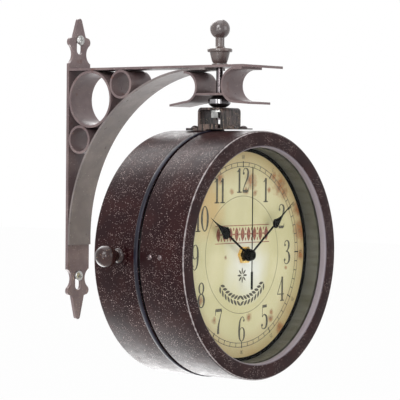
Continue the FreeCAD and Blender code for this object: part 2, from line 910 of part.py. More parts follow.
def rear_shell():
    """The half drum towards the wall. In its own frame the latch side is +X and the hinge side -X."""
    body = turned("rear_shell", shell_section(as_size(0), with_bead=True))
    shaft = d.knob_shaft + 2 * d.running_clearance
    drill(body, "YZ_Plane", [(d.latch_rise, d.latch_back)], shaft, along_normal=True)
    rivets = [(z, x - d.seam_gap / 2) for x, z in hinge_rivet_spots()]
    drill(body, "YZ_Plane", rivets, d.rivet_shank + 2 * d.hole_clearance, along_normal=False)
    screws = [(way * d.saddle_screw_y, d.saddle_screw_x) for way in (-1, 1)]
    drill(body, "XZ_Plane", screws, d.dome_shank + 2 * d.hole_clearance, along_normal=False)
    return node(place(body, axis_x, 0, drum_z, facing(REAR)), "rear_shell")


def front_shell():
    """The half drum that opens as a door. In its own frame the latch side is -X and the hinge side +X."""
    body = turned("front_shell", shell_section(d.seam_gap, with_bead=False))
    bore = d.rivet_shank + 2 * d.hole_clearance
    keeper_rivets = [(d.latch_rise, d.rivet_near), (d.latch_rise, d.rivet_far)]
    drill(body, "YZ_Plane", keeper_rivets, bore, along_normal=False)
    rivets = [(z, x + d.seam_gap / 2) for x, z in hinge_rivet_spots()]
    drill(body, "YZ_Plane", rivets, bore, along_normal=True)
    return node(place(body, axis_x, 0, drum_z, facing(FRONT)), "front_shell")


def seam_hoop():
    """The black hoop that is fixed inside the rear shell and guides the front shell as it closes."""
    seat = shell_inside - d.seat_clearance
    sheet = d.hoop_sheet
    step = d.hoop_step
    points = [
        (seat, d.hoop_back), (seat, 0), (seat - step, 0), (seat - step, -d.hoop_front),
        (seat - step - sheet, -d.hoop_front), (seat - step - sheet, d.hoop_back),
    ]
    return node(place(turned("seam_hoop", points), axis_x, 0, drum_z, facing(REAR)), "seam_hoop")


# ---------------------------------------------------------------- glass, dial and movement

def at_dial(body, side, name, x=0, y=0):
    """Places a piece that is drawn in the dial's frame: x to the right of the dial's middle, y above it."""
    out = 1 if side == FRONT else -1
    return node(place(body, axis_x, out * x, drum_z + y, facing(side)), f"{side}_{name}")


def glazing(side):
    """Flat glass behind the lip, and the ring between glass and dial that frames the dial."""
    glass = disc("lens", d.opening_diameter + 2 * d.glass_overlap, d.glass_thickness, glass_inner)
    at_dial(glass, side, "lens")
    inside = d.opening_diameter - 2 * d.ring_inset
    ring = tube("glass_ring", inside + 2 * d.ring_sheet, inside, d.ring_length, offset=dial_face)
    at_dial(ring, side, "glass_ring")


def dial(side):
    """The round dial plate and the four clips on the shell's wall that hold it from behind."""
    hole = d.bush_diameter + 2 * d.hole_clearance
    face = tube("dial", 2 * (shell_inside - d.hole_clearance), hole, d.dial_thickness, offset=dial_back)
    at_dial(face, side, "dial")
    wall = (shell_inside * shell_inside - d.clip_width * d.clip_width / 4).root() - d.seat_clearance / 2
    toe = wall - d.clip_toe
    points = [
        (wall, dial_back), (toe, dial_back), (toe, dial_back - d.clip_sheet),
        (wall - d.clip_sheet, dial_back - d.clip_sheet), (wall - d.clip_sheet, dial_back - d.clip_leg),
        (wall, dial_back - d.clip_leg),
    ]
    clips = []
    for angle in CLIP_ANGLES:
        clip = plate("clip", "XZ_Plane", points, None, d.clip_width)
        clips.append(place(clip, axis_x, 0, drum_z, turned_on_dial(side, angle)))
    node(group(clips), f"{side}_dial_clips")


bay_depth = d.battery_diameter + 2 * d.bay_clearance
bay_length = d.battery_length + 2 * d.bay_clearance
bay_y = bay_depth / 2 + d.movement_corner / 2 - d.movement_side / 2
battery_height = case_back + d.bay_clearance + d.battery_diameter / 2


def sink(body, depth, outline=None, circle=None):
    """A hollow in the movement's back, drawn as an outline or a circle."""
    doc.recompute()
    before = body.Shape.Volume
    hollow = new_sketch(body, "XY_Plane", case_back)
    if outline:
        draw_outline(hollow, outline)
    else:
        draw_circle(hollow, *circle)
    pocket = body.newObject("PartDesign::Pocket", "Pocket")
    pocket.Profile = hollow
    bind(pocket, "Length", depth)
    pocket.Reversed = True
    doc.recompute()
    if not body.Shape.Volume < before:
        raise ValueError("a hollow of the movement cuts nothing")


def movement(side):
    """A square quartz movement: battery bay and wheel recess behind, threaded bush in front."""
    half = d.movement_side / 2
    corner = d.movement_corner
    straight = half - corner
    body = new_body("movement")
    case = new_sketch(body, "XY_Plane", case_back)
    points = [
        (half, -straight), (half, straight), (straight, half), (-straight, half),
        (-half, straight), (-half, -straight), (-straight, -half), (straight, -half),
    ]
    draw_outline(case, points, [None, (corner, "right")] * 4)
    pad(body, case, d.movement_depth)
    bush = new_sketch(body, "XY_Plane", case_face)
    draw_circle(bush, 0, 0, d.bush_diameter)
    draw_circle(bush, 0, 0, d.hour_pipe + 2 * d.running_clearance)
    pad(body, bush, d.dial_thickness + d.bush_rise)
    sink(body, bay_depth, outline=rectangle(0, bay_y, bay_length, bay_depth))
    sink(body, d.set_wheel_recess, circle=(0, d.set_wheel_offset, d.set_wheel_diameter + 2))
    at_dial(body, side, "movement")


def rectangle(x, y, width, height):
    x, y, width, height = (as_size(value) for value in (x, y, width, height))
    left, right = x - width / 2, x + width / 2
    low, high = y - height / 2, y + height / 2
    return [(left, low), (right, low), (right, high), (left, high)]


def battery(side):
    """One AA cell, lying across the foot of the movement."""
    radius = d.battery_diameter / 2
    button = d.battery_button / 2
    can = d.battery_length - 1.5
    points = [(0, 0), (radius, 0), (radius, can), (button, can), (button, d.battery_length), (0, d.battery_length)]
    body = turned("battery", points)
    out = 1 if side == FRONT else -1
    along = Rotation(Vector(0, 0, 1), Vector(1, 0, 0), Vector(0, out, 0), "ZXY")
    place(body, axis_x + out * battery_height, -out * d.battery_length / 2, drum_z + bay_y, along)
    node(body, f"{side}_battery")


def dial_nut(side):
    """The nut that holds the dial on the movement's bush."""
    nut = hex_nut("nut", d.dial_nut_flats, d.dial_nut_height, d.bush_diameter + 2 * d.hole_clearance)
    out = 1 if side == FRONT else -1
    place(nut, axis_x + out * dial_face, 0, drum_z, facing(side))
    node(nut, f"{side}_dial_nut")


def set_wheel(side):
    """The setting wheel in the recess of the movement's back."""
    top = case_back + d.set_wheel_recess - d.seat_clearance
    wheel = disc("set_wheel", d.set_wheel_diameter, d.set_wheel_height, top - d.set_wheel_height)
    at_dial(wheel, side, "set_wheel", 0, d.set_wheel_offset)


# ---------------------------------------------------------------- hands

hour_hub_foot = dial_face + d.bush_rise + d.hand_gap
minute_hub_foot = hour_hub_foot + d.hub_height + d.hand_gap
second_hub_foot = minute_hub_foot + d.hub_height + d.hand_gap
arbor_foot = case_face + d.hand_gap


def hub(name, foot, width, arbor, bore):
    """A hand's hub and the arbor below it, with a bore for the next arbor, or none."""
    top = foot + d.hub_height
    inner = bore / 2
    points = [
        (inner, arbor_foot), (arbor / 2, arbor_foot), (arbor / 2, foot), (width / 2, foot),
        (width / 2, top), (inner, top),
    ]
    return turned(name, points)


def spade_hand(side, name, foot, width, arbor, bore, length, widest, spade_width, angle):
    """A hand with a thin stem, a spade and a long point."""
    body = hub(name, foot, width, arbor, bore)
    stem = d.stem_width / 2
    half = spade_width / 2
    start = width / 2 - 1
    base = widest - 1.15 * half
    waist = widest + 2.6 * half
    points = [
        (as_size(0), start), (stem, start), (stem, base), (half, widest), (0.7 * stem, waist),
        (as_size(0), length),
    ]
    edges = [None, None, (half * 1.05, "right"), (half * 6, "left"), None]
    sketch = new_sketch(body, "XY_Plane", foot)
    draw_outline(sketch, *mirrored_half(points, edges))
    pad(body, sketch, d.hand_sheet)
    place(body, axis_x, 0, drum_z, turned_on_dial(side, angle.number))
    node(body, f"{side}_{name}")


def second_hand(side):
    """A needle with a broad tail."""
    body = hub("second_hand", second_hub_foot, d.second_hub, d.second_arbor, as_size(0))
    needle = d.needle_width / 2
    tail = d.tail_width / 2
    points = [
        (as_size(0), d.second_length), (needle, d.second_length - 2), (needle, -d.tail_start),
        (tail, -d.tail_start - 1), (tail, -d.second_tail), (as_size(0), -d.second_tail),
    ]
    sketch = new_sketch(body, "XY_Plane", second_hub_foot)
    draw_outline(sketch, *mirrored_half(points, [None] * 5))
    pad(body, sketch, d.hand_sheet)
    place(body, axis_x, 0, drum_z, turned_on_dial(side, d.second_angle.number))
    node(body, f"{side}_second_hand")


def hands(side):
    slack = 2 * d.running_clearance
    spade_hand(side, "hour_hand", hour_hub_foot, d.hour_hub, d.hour_pipe, d.minute_arbor + slack,
               d.hour_length, d.hour_spade, d.hour_spade_width, d.hour_angle)
    spade_hand(side, "minute_hand", minute_hub_foot, d.minute_hub, d.minute_arbor,
               d.second_arbor + slack, d.minute_length, d.minute_spade, d.minute_spade_width,
               d.minute_angle)
    second_hand(side)


# ---------------------------------------------------------------- latch

def knob_escutcheon():
    """A washer under the knob whose back is cut to the curve of the drum."""
    ring = tube("washer", d.escutcheon_diameter, d.knob_shaft + 2 * d.hole_clearance,
                d.escutcheon_thickness + 1)
    place(ring, axis_x - d.latch_back, 1 - drum_radius, latch_z, TO_LATCH)
    return node(without(ring, [drum_core(d.saddle_length)]), "knob_escutcheon")


def drum_core(depth):
    """A cylinder as wide as the drum, for cutting what sits on its curve."""
    core = cylinder(drum_radius, 2 * depth)
    return place(core, axis_x - depth, 0, drum_z, Rotation(Vector(0, 1, 0), 90))


def latch_knob():
    """A turned ball on a neck, with the shaft that goes through the shell."""
    ball = d.knob_diameter / 2
    centre = d.knob_reach - ball
    neck = d.knob_neck / 2
    shaft = d.knob_shaft / 2
    flange = d.knob_flange / 2
    foot = d.escutcheon_thickness + d.swivel_gap
    inner_end = -(d.shell_wall + d.crank_inset + d.crank_sheet)
    points = [
        (0, inner_end), (shaft, inner_end), (shaft, foot), (flange, foot), (flange, foot + 1.2),
        (neck, foot + 2.4),
    ]
    body = turned("latch_knob", points + ball_section(ball, centre, neck))
    return node(place(body, axis_x - d.latch_back, -drum_radius, latch_z, TO_LATCH), "latch_knob")


def latch_crank():
    """The lever on the inner end of the knob's shaft, with the pin that drops into the keeper."""
    body = new_body("latch_crank")
    sketch = new_sketch(body, "XY_Plane")
    lever = slot(as_size(0), d.crank_throw / 2, d.crank_width, d.crank_throw + d.crank_width)
    draw_outline(sketch, *lever)
    draw_circle(sketch, 0, 0, d.knob_shaft + 2 * d.seat_clearance)
    pad(body, sketch, d.crank_sheet)
    pin = new_sketch(body, "XY_Plane")
    draw_circle(pin, 0, d.crank_throw, d.crank_pin)
    pad(body, pin, d.crank_pin_length, backwards=True)
    inner = drum_radius - d.shell_wall - d.crank_inset - d.crank_sheet
    return node(place(body, axis_x - d.latch_back, -inner, latch_z, TO_LATCH), "latch_crank")


def latch_keeper():
    """A joggled strip, riveted inside the front shell, whose notch takes the crank's pin."""
    outer = d.keeper_seat - shell_inside
    arm = d.keeper_inset - shell_inside
    sheet = d.keeper_sheet
    notch_x = d.crank_throw - d.latch_back
    end = notch_x - d.notch_width / 2 - d.keeper_prong
    bend = d.hoop_front + 0.5
    foot = bend + d.keeper_inset - d.keeper_seat
    points = [
        (end, arm), (bend, arm), (foot, outer), (d.keeper_end, outer), (d.keeper_end, outer + sheet),
        (foot + sheet / 2, outer + sheet), (bend + sheet / 2, arm + sheet), (end, arm + sheet),
    ]
    height = d.keeper_low + d.keeper_high
    body = plate("latch_keeper", "XY_Plane", points, None, height, both_ways=False,
                 offset=-d.keeper_low)
    notch = new_sketch(body, "XZ_Plane")
    middle = d.keeper_high - d.notch_depth / 2 + 1
    draw_outline(notch, rectangle(notch_x, middle, d.notch_width, d.notch_depth + 2))
    cut_through(body, notch)
    bores = new_sketch(body, "XZ_Plane")
    for x in (d.rivet_near, d.rivet_far):
        draw_circle(bores, x, 0, d.rivet_shank + 2 * d.hole_clearance)
    cut_through(body, bores)
    return node(place(body, axis_x, 0, latch_z), "latch_keeper")


def keeper_rivets():
    rivets = []
    grip = d.shell_wall + d.keeper_seat + d.keeper_sheet
    for x in (d.rivet_near, d.rivet_far):
        rivet = headed("rivet", d.rivet_head, d.rivet_head_height, d.rivet_shank, grip)
        rivets.append(place(rivet, axis_x + x, -drum_radius, latch_z, TO_LATCH))
    return node(group(rivets), "keeper_rivets")


# ---------------------------------------------------------------- hinge

hinge_x = axis_x + d.seam_gap / 2
hinge_y = drum_radius + d.bead_height + d.leaf_gap + d.hinge_barrel / 2


def hinge_leaf(name, way, knuckles):
    """One leaf: a plate cut to the curve of the drum, and the barrel knuckles it carries.

    way is 1 towards the front, and each knuckle is a pair of heights above the drum's middle.
    """
    barrel = d.hinge_barrel / 2
    outer = drum_radius + d.leaf_rise
    near = barrel + d.leaf_gap
    sink = 2
    low = -d.hinge_height / 2

    def slab(start, end, bottom, height, floor):
        left = start if way == 1 else -end
        item = block(end - start, outer - floor, height)
        return place(item, hinge_x + left, floor, drum_z + bottom)

    pieces = [slab(near, d.leaf_length, low, d.hinge_height, drum_radius - sink)]
    for bottom, top in knuckles:
        floor = drum_radius + d.bead_height + d.leaf_gap
        pieces.append(slab(0, near + 1, bottom, top - bottom, floor))
        roller = cylinder(barrel, top - bottom)
        pieces.append(place(roller, hinge_x, hinge_y, drum_z + bottom))
    bore = cylinder(d.hinge_pin / 2 + d.running_clearance, d.hinge_height + 2)
    place(bore, hinge_x, hinge_y, drum_z + low - 1)
    tools = [drum_core(d.saddle_length), bore]
    bead = cylinder(drum_radius + d.bead_height + d.hole_clearance, d.bead_width + d.leaf_gap)
    place(bead, axis_x - d.bead_width - d.leaf_gap, 0, drum_z, Rotation(Vector(0, 1, 0), 90))
    tools.append(bead)
    for x, z in hinge_rivet_spots():
        hole = cylinder(d.rivet_shank / 2 + d.hole_clearance, 2 * d.hinge_barrel)
        place(hole, hinge_x + way * x, drum_radius - d.hinge_barrel, drum_z + z,
              Rotation(Vector(1, 0, 0), -90))
        tools.append(hole)
    return node(without(united(pieces), tools), name)


def hinge():
    third = d.hinge_height / 3
    low = -d.hinge_height / 2
    hinge_leaf("hinge_leaf_rear", -1, [(low, low + third), (low + 2 * third, -low)])
    gap = d.knuckle_gap
    hinge_leaf("hinge_leaf_front", 1, [(low + third + gap, low + 2 * third - gap)])
    head = d.pin_head / 2
    pin = d.hinge_pin / 2
    top = -low + d.knuckle_gap
    points = [
        (0, low - 0.8), (pin, low - 0.8), (pin, top), (head, top), (head, top + 0.8),
        (head - 0.6, top + 1.4), (0, top + 1.4),
    ]
    node(place(turned("hinge_pin", points), hinge_x, hinge_y, drum_z), "hinge_pin")
    for side, way in ((REAR, -1), (FRONT, 1)):
        rivets = []
        for x, z in hinge_rivet_spots():
            grip = d.leaf_rise + d.shell_wall + 1
            rivet = headed("rivet", d.rivet_head, d.rivet_head_height, d.rivet_shank, grip)
            spot = place(rivet, hinge_x + way * x, drum_radius + d.leaf_rise, drum_z + z, TO_HINGE)
            rivets.append(spot)
        node(group(rivets), f"hinge_rivets_{side}")


# ---------------------------------------------------------------- the whole clock

def build():
    wall_plate()
    top_arm()
    brace()
    corner_rings()
    scroll("scroll_inner", -1, inner_scroll_x, inner_scroll_radius, d.inner_tail_drop, as_size(1))
    scroll("scroll_outer", 1, outer_scroll_x, outer_scroll_radius, d.outer_tail_drop, d.scroll_lip)
    scroll_bridge()
    hanger_rod()
    finial()
    swivel_collar()
    rod_fasteners()
    yoke()
    yoke_spacer()
    saddle_plate()
    yoke_screws()
    rear_shell()
    front_shell()
    seam_hoop()
    for side in (FRONT, REAR):
        glazing(side)
        dial(side)
        movement(side)
        battery(side)
        dial_nut(side)
        set_wheel(side)
        hands(side)
    knob_escutcheon()
    latch_knob()
    latch_crank()
    latch_keeper()
    keeper_rivets()
    hinge()


def check():
    """Stops before anything is written if an object has failed or a sub-part is not sound."""
    for item in doc.Objects:
        if {"Invalid", "Error"} & set(item.State):
            raise ValueError(f"{item.Name} ({item.Label}) has failed: {item.State}")
    for item in nodes:
        shape = item.Shape
        if shape.isNull() or not shape.isValid() or not shape.Solids:
            raise ValueError(f"{item.Label} has no valid solid")


def write():
    for item in nodes:
        item.Shape.exportStep(f"parts/{item.Label}.step")
    print(f"wrote {len(nodes)} sub-parts")


build()
doc.recompute()
check()
write()
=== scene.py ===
import json
import math

import bmesh
import bpy
from mathutils import Matrix, Vector

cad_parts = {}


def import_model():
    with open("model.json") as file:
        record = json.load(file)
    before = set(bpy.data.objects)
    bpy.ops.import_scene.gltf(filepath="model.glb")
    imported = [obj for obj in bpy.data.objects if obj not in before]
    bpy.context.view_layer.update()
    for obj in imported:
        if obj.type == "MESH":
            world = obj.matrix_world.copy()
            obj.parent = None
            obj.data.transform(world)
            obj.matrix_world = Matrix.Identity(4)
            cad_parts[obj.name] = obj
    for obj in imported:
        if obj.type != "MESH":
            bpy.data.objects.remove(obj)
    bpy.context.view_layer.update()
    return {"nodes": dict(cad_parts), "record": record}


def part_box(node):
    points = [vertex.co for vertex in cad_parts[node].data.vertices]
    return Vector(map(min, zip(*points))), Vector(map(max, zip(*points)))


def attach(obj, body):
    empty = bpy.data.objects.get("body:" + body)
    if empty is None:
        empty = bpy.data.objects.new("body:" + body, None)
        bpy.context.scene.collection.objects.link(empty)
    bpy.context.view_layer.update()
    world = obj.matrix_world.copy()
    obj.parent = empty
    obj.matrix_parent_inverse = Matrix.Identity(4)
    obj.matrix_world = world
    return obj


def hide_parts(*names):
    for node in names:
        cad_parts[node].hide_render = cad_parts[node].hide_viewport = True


# The looks of a double sided station clock on a wall bracket.
# Lengths are in metres, in the frame of the CAD: +X out from the wall, +Z up, the knob on -Y.

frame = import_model()
nodes = frame["nodes"]

MM = 0.001
FULL_TURN = 2 * math.pi


# -------- places read from the frame

def middle(node):
    low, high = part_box(node)
    return (low + high) / 2


# Depths are counted from the drum's middle plane, the same way on both sides.
drum_centre = Vector((middle("hanger_rod").x, 0, middle("front_dial").z))
shell_low, shell_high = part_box("front_shell")
DRUM_RADIUS = (shell_high.y - shell_low.y) / 2
HALF_DEPTH = shell_high.x - drum_centre.x
SEAM = shell_low.x - drum_centre.x
DIAL_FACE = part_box("front_glass_ring")[0].x - drum_centre.x
LENS_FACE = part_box("front_lens")[1].x - drum_centre.x

# Sizes of the CAD that its boxes don't give.
SHELL_WALL = 1.2 * MM
RIM_WIDTH = 14.3 * MM
MOUTH_RADIUS = DRUM_RADIUS - RIM_WIDTH
BEAD_WIDTH = 4.2 * MM
BEAD_RISE = 0.8 * MM
SLOT_SPACING = 220 * MM

# The way out of each dial, and its name on the nodes and bodies.
SIDES = {"front": 1, "rear": -1}
SIDE_BODY = {"front": "door", "rear": "clock"}


def dial_frame(side):
    """Local X to the right, Y up and Z out, as seen by someone who looks at that dial."""
    out = SIDES[side]
    turn = Matrix(((0, 0, out), (out, 0, 0), (0, 1, 0)))
    return Matrix.Translation(drum_centre) @ turn.to_4x4()


def upright(x, z):
    """Local Z up, at a place of the CAD's middle plane."""
    return Matrix.Translation(Vector((x, 0, z)))


def pointing(place, out, up=Vector((0, 0, 1))):
    """Local Z along a direction, local Y as near up as can be."""
    out = out.normalized()
    right = up.cross(out).normalized()
    turn = Matrix((right, out.cross(right), out)).transposed()
    return Matrix.Translation(place) @ turn.to_4x4()


# -------- materials

def linear(r, g, b):
    """A colour given in screen values from 0 to 255, as Blender's linear colour."""
    def channel(value):
        value /= 255
        return value / 12.92 if value <= 0.04045 else ((value + 0.055) / 1.055) ** 2.4
    return (channel(r), channel(g), channel(b), 1)


class Paint:
    """A material that is put together from nodes, all in the object's own coordinates."""

    def __init__(self, name, roughness=0.5, metallic=0.0, specular=0.5, coat=0.0):
        self.material = bpy.data.materials.new(name)
        self.material.use_nodes = True
        self.tree = self.material.node_tree
        self.shader = self.tree.nodes["Principled BSDF"]
        settings = {"Roughness": roughness, "Metallic": metallic, "Specular IOR Level": specular,
                    "Coat Weight": coat, "Coat Roughness": 0.1}
        for slot, value in settings.items():
            self.shader.inputs[slot].default_value = value
        self.place = self.tree.nodes.new("ShaderNodeTexCoord").outputs["Object"]

    def link(self, value, slot):
        """Fills a slot from another node, or with a number or colour."""
        if isinstance(value, bpy.types.NodeSocket):
            self.tree.links.new(value, slot)
        else:
            slot.default_value = value

    def node(self, kind, slots):
        """The outputs of a new node with some of its slots filled."""
        made = self.tree.nodes.new(kind)
        for slot, value in slots.items():
            self.link(value, made.inputs[slot])
        return made.outputs

    def axes(self):
        """The place's coordinates one by one, under "X", "Y" and "Z"."""
        return self.node("ShaderNodeSeparateXYZ", {"Vector": self.place})

    def noise(self, size, detail=3, roughness=0.5, stretch=(1, 1, 1)):
        """Soft noise whose blotches are about that many metres wide."""
        slots = {"Vector": self.stretched(stretch), "Scale": 1 / size, "Detail": detail,
                 "Roughness": roughness}
        return self.node("ShaderNodeTexNoise", slots)["Fac"]

    def stretched(self, stretch):
        """The place with each axis multiplied: a number under 1 draws a pattern out along that axis."""
        if stretch == (1, 1, 1):
            return self.place
        return self.node("ShaderNodeMapping", {"Vector": self.place, "Scale": stretch})["Vector"]

    def specks(self, apart, radius, share):
        """1 inside round specks that lie about that far apart, of which only a share is there."""
        cells = self.node("ShaderNodeTexVoronoi", {"Vector": self.place, "Scale": 1 / apart})
        chance = self.node("ShaderNodeSeparateColor", {"Color": cells["Color"]})
        # Each speck has its own size, between half and all of the largest radius.
        size = self.ramp(chance["Green"], 0.0, 1.0, 0.5 * radius / apart, radius / apart)
        inside = self.ramp(self.maths("DIVIDE", cells["Distance"], size), 0.75, 1.0, 1.0, 0.0)
        there = self.ramp(self.maths("SUBTRACT", share, chance["Red"]), 0.0, 0.02)
        return self.maths("MULTIPLY", inside, there)

    def ramp(self, value, low, high, start=0.0, end=1.0):
        """Maps low..high of a value to start..end, clamped."""
        slots = {"Value": value, "From Min": low, "From Max": high, "To Min": start, "To Max": end}
        return self.node("ShaderNodeMapRange", slots)["Result"]

    def maths(self, operation, *values):
        """One step of arithmetic; each value is a socket or a number."""
        node = self.tree.nodes.new("ShaderNodeMath")
        node.operation = operation
        for value, slot in zip(values, node.inputs):
            self.link(value, slot)
        return node.outputs["Value"]

    def distance(self, across, rise):
        """How far a place is from where both of its measures are 0."""
        squares = [self.maths("MULTIPLY", measure, measure) for measure in (across, rise)]
        return self.maths("SQRT", self.maths("ADD", *squares))

    def mix(self, fac, first, second):
        """A colour between two, each a socket or a linear colour."""
        node = self.tree.nodes.new("ShaderNodeMix")
        node.data_type = "RGBA"
        self.link(fac, node.inputs["Factor"])
        self.link(first, node.inputs[6])
        self.link(second, node.inputs[7])
        return node.outputs[2]

    def colour(self, value):
        self.link(value, self.shader.inputs["Base Color"])

    def roughness(self, value):
        self.link(value, self.shader.inputs["Roughness"])

    def bump(self, height, depth, strength=1.0):
        """Raised and sunken detail, depth metres from its lowest to its highest."""
        slots = {"Height": height, "Distance": depth, "Strength": strength}
        for previous in self.shader.inputs["Normal"].links:
            slots["Normal"] = previous.from_socket
        self.link(self.node("ShaderNodeBump", slots)["Normal"], self.shader.inputs["Normal"])

    def give_way(self, share, other):
        """Lets another shader take a share of the surface."""
        mixer = self.tree.nodes.new("ShaderNodeMixShader")
        self.link(share, mixer.inputs["Fac"])
        self.link(self.shader.outputs["BSDF"], mixer.inputs[1])
        self.link(other, mixer.inputs[2])
        self.link(mixer.outputs["Shader"], self.tree.nodes["Material Output"].inputs["Surface"])


def speckled_paint(name, dark, warm, speck, rough, amount=0.5, specular=0.3, lumps=0.03 * MM,
                   rust=None, ridges=0.0):
    """Hammered paint: a dark ground with warm blotches, and fine pale specks that come in drifts.

    Amount is the share of specks where they are thickest. Lumps and ridges are depths in metres.
    """
    paint = Paint(name, roughness=rough, specular=specular)
    blotches = paint.ramp(paint.noise(20 * MM, detail=5), 0.42, 0.66)
    ground = paint.mix(blotches, dark, warm)
    if rust:
        patches = paint.ramp(paint.noise(11 * MM, detail=5, roughness=0.65), 0.6, 0.7, 0.0, 0.75)
        ground = paint.mix(patches, ground, rust)
    if ridges:
        rolled = paint.noise(1.7 * MM, detail=3, stretch=(1, 1, 0.1))
        ground = paint.mix(paint.ramp(rolled, 0.42, 0.56), ground, linear(20, 15, 15))
        paint.bump(rolled, ridges)
    drift = paint.ramp(paint.noise(24 * MM, detail=4, roughness=0.62), 0.38, 0.64, 0.18 * amount, amount)
    fine = paint.specks(1.0 * MM, 0.34 * MM, drift)
    coarse = paint.specks(2.3 * MM, 0.46 * MM, paint.maths("MULTIPLY", drift, 0.7))
    shown = paint.maths("MAXIMUM", paint.maths("MULTIPLY", fine, 0.7), paint.maths("MULTIPLY", coarse, 0.9))
    paint.colour(paint.mix(shown, ground, speck))
    paint.roughness(paint.ramp(paint.noise(6 * MM, detail=4), 0.3, 0.7, rough - 0.05, rough + 0.1))
    paint.bump(paint.noise(2.2 * MM, detail=3), lumps)
    paint.bump(shown, 0.02 * MM)
    return paint


def on_drum(paint):
    """A place's Y, its height over the drum's middle, and its depth from the middle plane."""
    axes = paint.axes()
    depth = paint.maths("ABSOLUTE", paint.maths("SUBTRACT", axes["X"], drum_centre.x))
    return axes["Y"], paint.maths("SUBTRACT", axes["Z"], drum_centre.z), depth


def case_paint():
    """The drum's maroon, with a painted highlight along the outer edge of each rim and a painted reflection
    round the mouth.
    """
    paint = speckled_paint("case_paint", linear(30, 8, 11), linear(42, 16, 16), linear(190, 168, 164), 0.34,
                           amount=0.85, specular=0.15)
    across, rise, depth = on_drum(paint)
    radius = paint.distance(across, rise)
    ragged = paint.maths("MULTIPLY", paint.noise(3 * MM, detail=4), 0.8 * MM)
    outer = paint.ramp(paint.maths("ADD", radius, ragged), DRUM_RADIUS - 0.8 * MM, DRUM_RADIUS - 0.1 * MM)
    ahead = paint.ramp(paint.maths("ADD", depth, ragged), HALF_DEPTH - 0.9 * MM, HALF_DEPTH - 0.1 * MM)
    # Painted highlight: a pale ragged line along the outer edge of each rim, where its rounded corner catches
    # the light.
    wear_and_highlight = paint.maths("MULTIPLY", paint.maths("MULTIPLY", outer, ahead), 0.8)
    # Painted reflection: a paler band on the rolled lip round the mouth.
    mouth_reflection = paint.ramp(radius, MOUTH_RADIUS + 0.5 * MM, MOUTH_RADIUS + 1.6 * MM, 0.75, 0.0)
    base = paint.shader.inputs["Base Color"].links[0].from_socket
    base = paint.mix(mouth_reflection, base, linear(158, 150, 158))
    paint.colour(paint.mix(wear_and_highlight, base, linear(206, 198, 198)))
    return paint.material


def bracket_paint():
    """Brown grey satin paint with few specks, rusty in places."""
    return speckled_paint("bracket_paint", linear(98, 82, 83), linear(116, 100, 99), linear(186, 172, 164),
                          0.32, amount=0.16, specular=0.5, rust=linear(92, 58, 48), lumps=0.05 * MM).material


def brace_paint():
    """The bracket's paint, but a little greyer and without the rust."""
    return speckled_paint("brace_paint", linear(103, 95, 94), linear(121, 112, 110), linear(186, 178, 172),
                          0.32, amount=0.12, specular=0.5, lumps=0.05 * MM).material


def finial_bronze():
    """Glossy grey brown, worn to rust in places."""
    return speckled_paint("finial_bronze", linear(62, 50, 49), linear(86, 72, 68), linear(206, 180, 150),
                          0.24, amount=0.2, specular=1.0, lumps=0.01 * MM, rust=linear(74, 42, 34)).material


def knob_bronze():
    """Polished dark brown, with a few worn specks."""
    return speckled_paint("knob_bronze", linear(34, 16, 15), linear(54, 32, 28), linear(200, 166, 130), 0.19,
                          amount=0.2, specular=0.45, lumps=0.008 * MM).material


def yoke_paint():
    """Dark rolled sheet, with specks where the paint has gone to bare brown metal."""
    return speckled_paint("yoke_paint", linear(78, 66, 66), linear(110, 92, 84), linear(222, 196, 160), 0.3,
                          amount=0.4, specular=0.4, ridges=0.3 * MM).material


def bead_paint():
    """The rolled bead at the seam, nearly bare of specks, with a cold dark tone."""
    return speckled_paint("bead_paint", linear(20, 20, 32), linear(34, 33, 46), linear(120, 118, 130), 0.34,
                          amount=0.08, specular=0.25).material


def black_enamel():
    """Glossy black, slightly uneven."""
    paint = Paint("black_enamel", roughness=0.22, coat=0.5)
    paint.colour(paint.mix(paint.noise(5 * MM), linear(14, 13, 14), linear(26, 24, 25)))
    paint.bump(paint.noise(1.6 * MM, detail=3), 0.02 * MM)
    return paint.material


def metal(name, dark, light, rough, brushed=(1, 1, 1)):
    """Bare metal with fine brushing and slightly uneven polish."""
    paint = Paint(name, metallic=1.0)
    paint.colour(paint.mix(paint.ramp(paint.noise(4 * MM, detail=4), 0.3, 0.7), dark, light))
    polish = paint.noise(1.2 * MM, detail=3, stretch=brushed)
    paint.roughness(paint.ramp(polish, 0.3, 0.7, rough - 0.06, rough + 0.1))
    paint.bump(paint.noise(0.5 * MM, detail=2, stretch=brushed), 0.008 * MM)
    return paint.material


# Each metal's darker and lighter tone, its roughness, and how fine its brushing is along X, Y and Z.
METALS = {
    "zinc": (linear(150, 150, 148), linear(196, 196, 194), 0.32),
    "rod_steel": (linear(74, 68, 70), linear(124, 116, 118), 0.2, (4, 4, 1)),
    "bright_steel": (linear(120, 119, 122), linear(160, 158, 160), 0.16, (1, 1, 6)),
    "nut_brass": (linear(226, 178, 96), linear(255, 226, 160), 0.2),
    "rivet_bronze": (linear(78, 66, 68), linear(128, 116, 116), 0.26),
}


def hand_black():
    """Dull black for the hands, and for the black bands on the dials' edges that paint the shadow there."""
    paint = Paint("hand_black", roughness=0.5, specular=0.06)
    paint.colour(paint.mix(paint.noise(6 * MM), linear(3, 3, 3), linear(9, 9, 9)))
    paint.bump(paint.noise(0.8 * MM, detail=2), 0.008 * MM)
    return paint.material


def ring_paint():
    """Grey satin sheet between glass and dial, faintly streaked across."""
    paint = Paint("ring_paint", roughness=0.34, specular=0.25)
    streaks = paint.ramp(paint.noise(5 * MM, detail=4, stretch=(0.15, 1, 1)), 0.3, 0.7)
    paint.colour(paint.mix(streaks, linear(76, 75, 64), linear(100, 99, 93)))
    paint.bump(paint.noise(1.5 * MM, detail=3), 0.012 * MM)
    return paint.material


def movement_plastic():
    """Black moulded plastic with spark-eroded grain."""
    paint = Paint("movement_plastic", roughness=0.6)
    paint.colour(paint.mix(paint.noise(9 * MM), linear(24, 24, 25), linear(36, 36, 37)))
    paint.bump(paint.noise(0.35 * MM, detail=2), 0.02 * MM)
    return paint.material


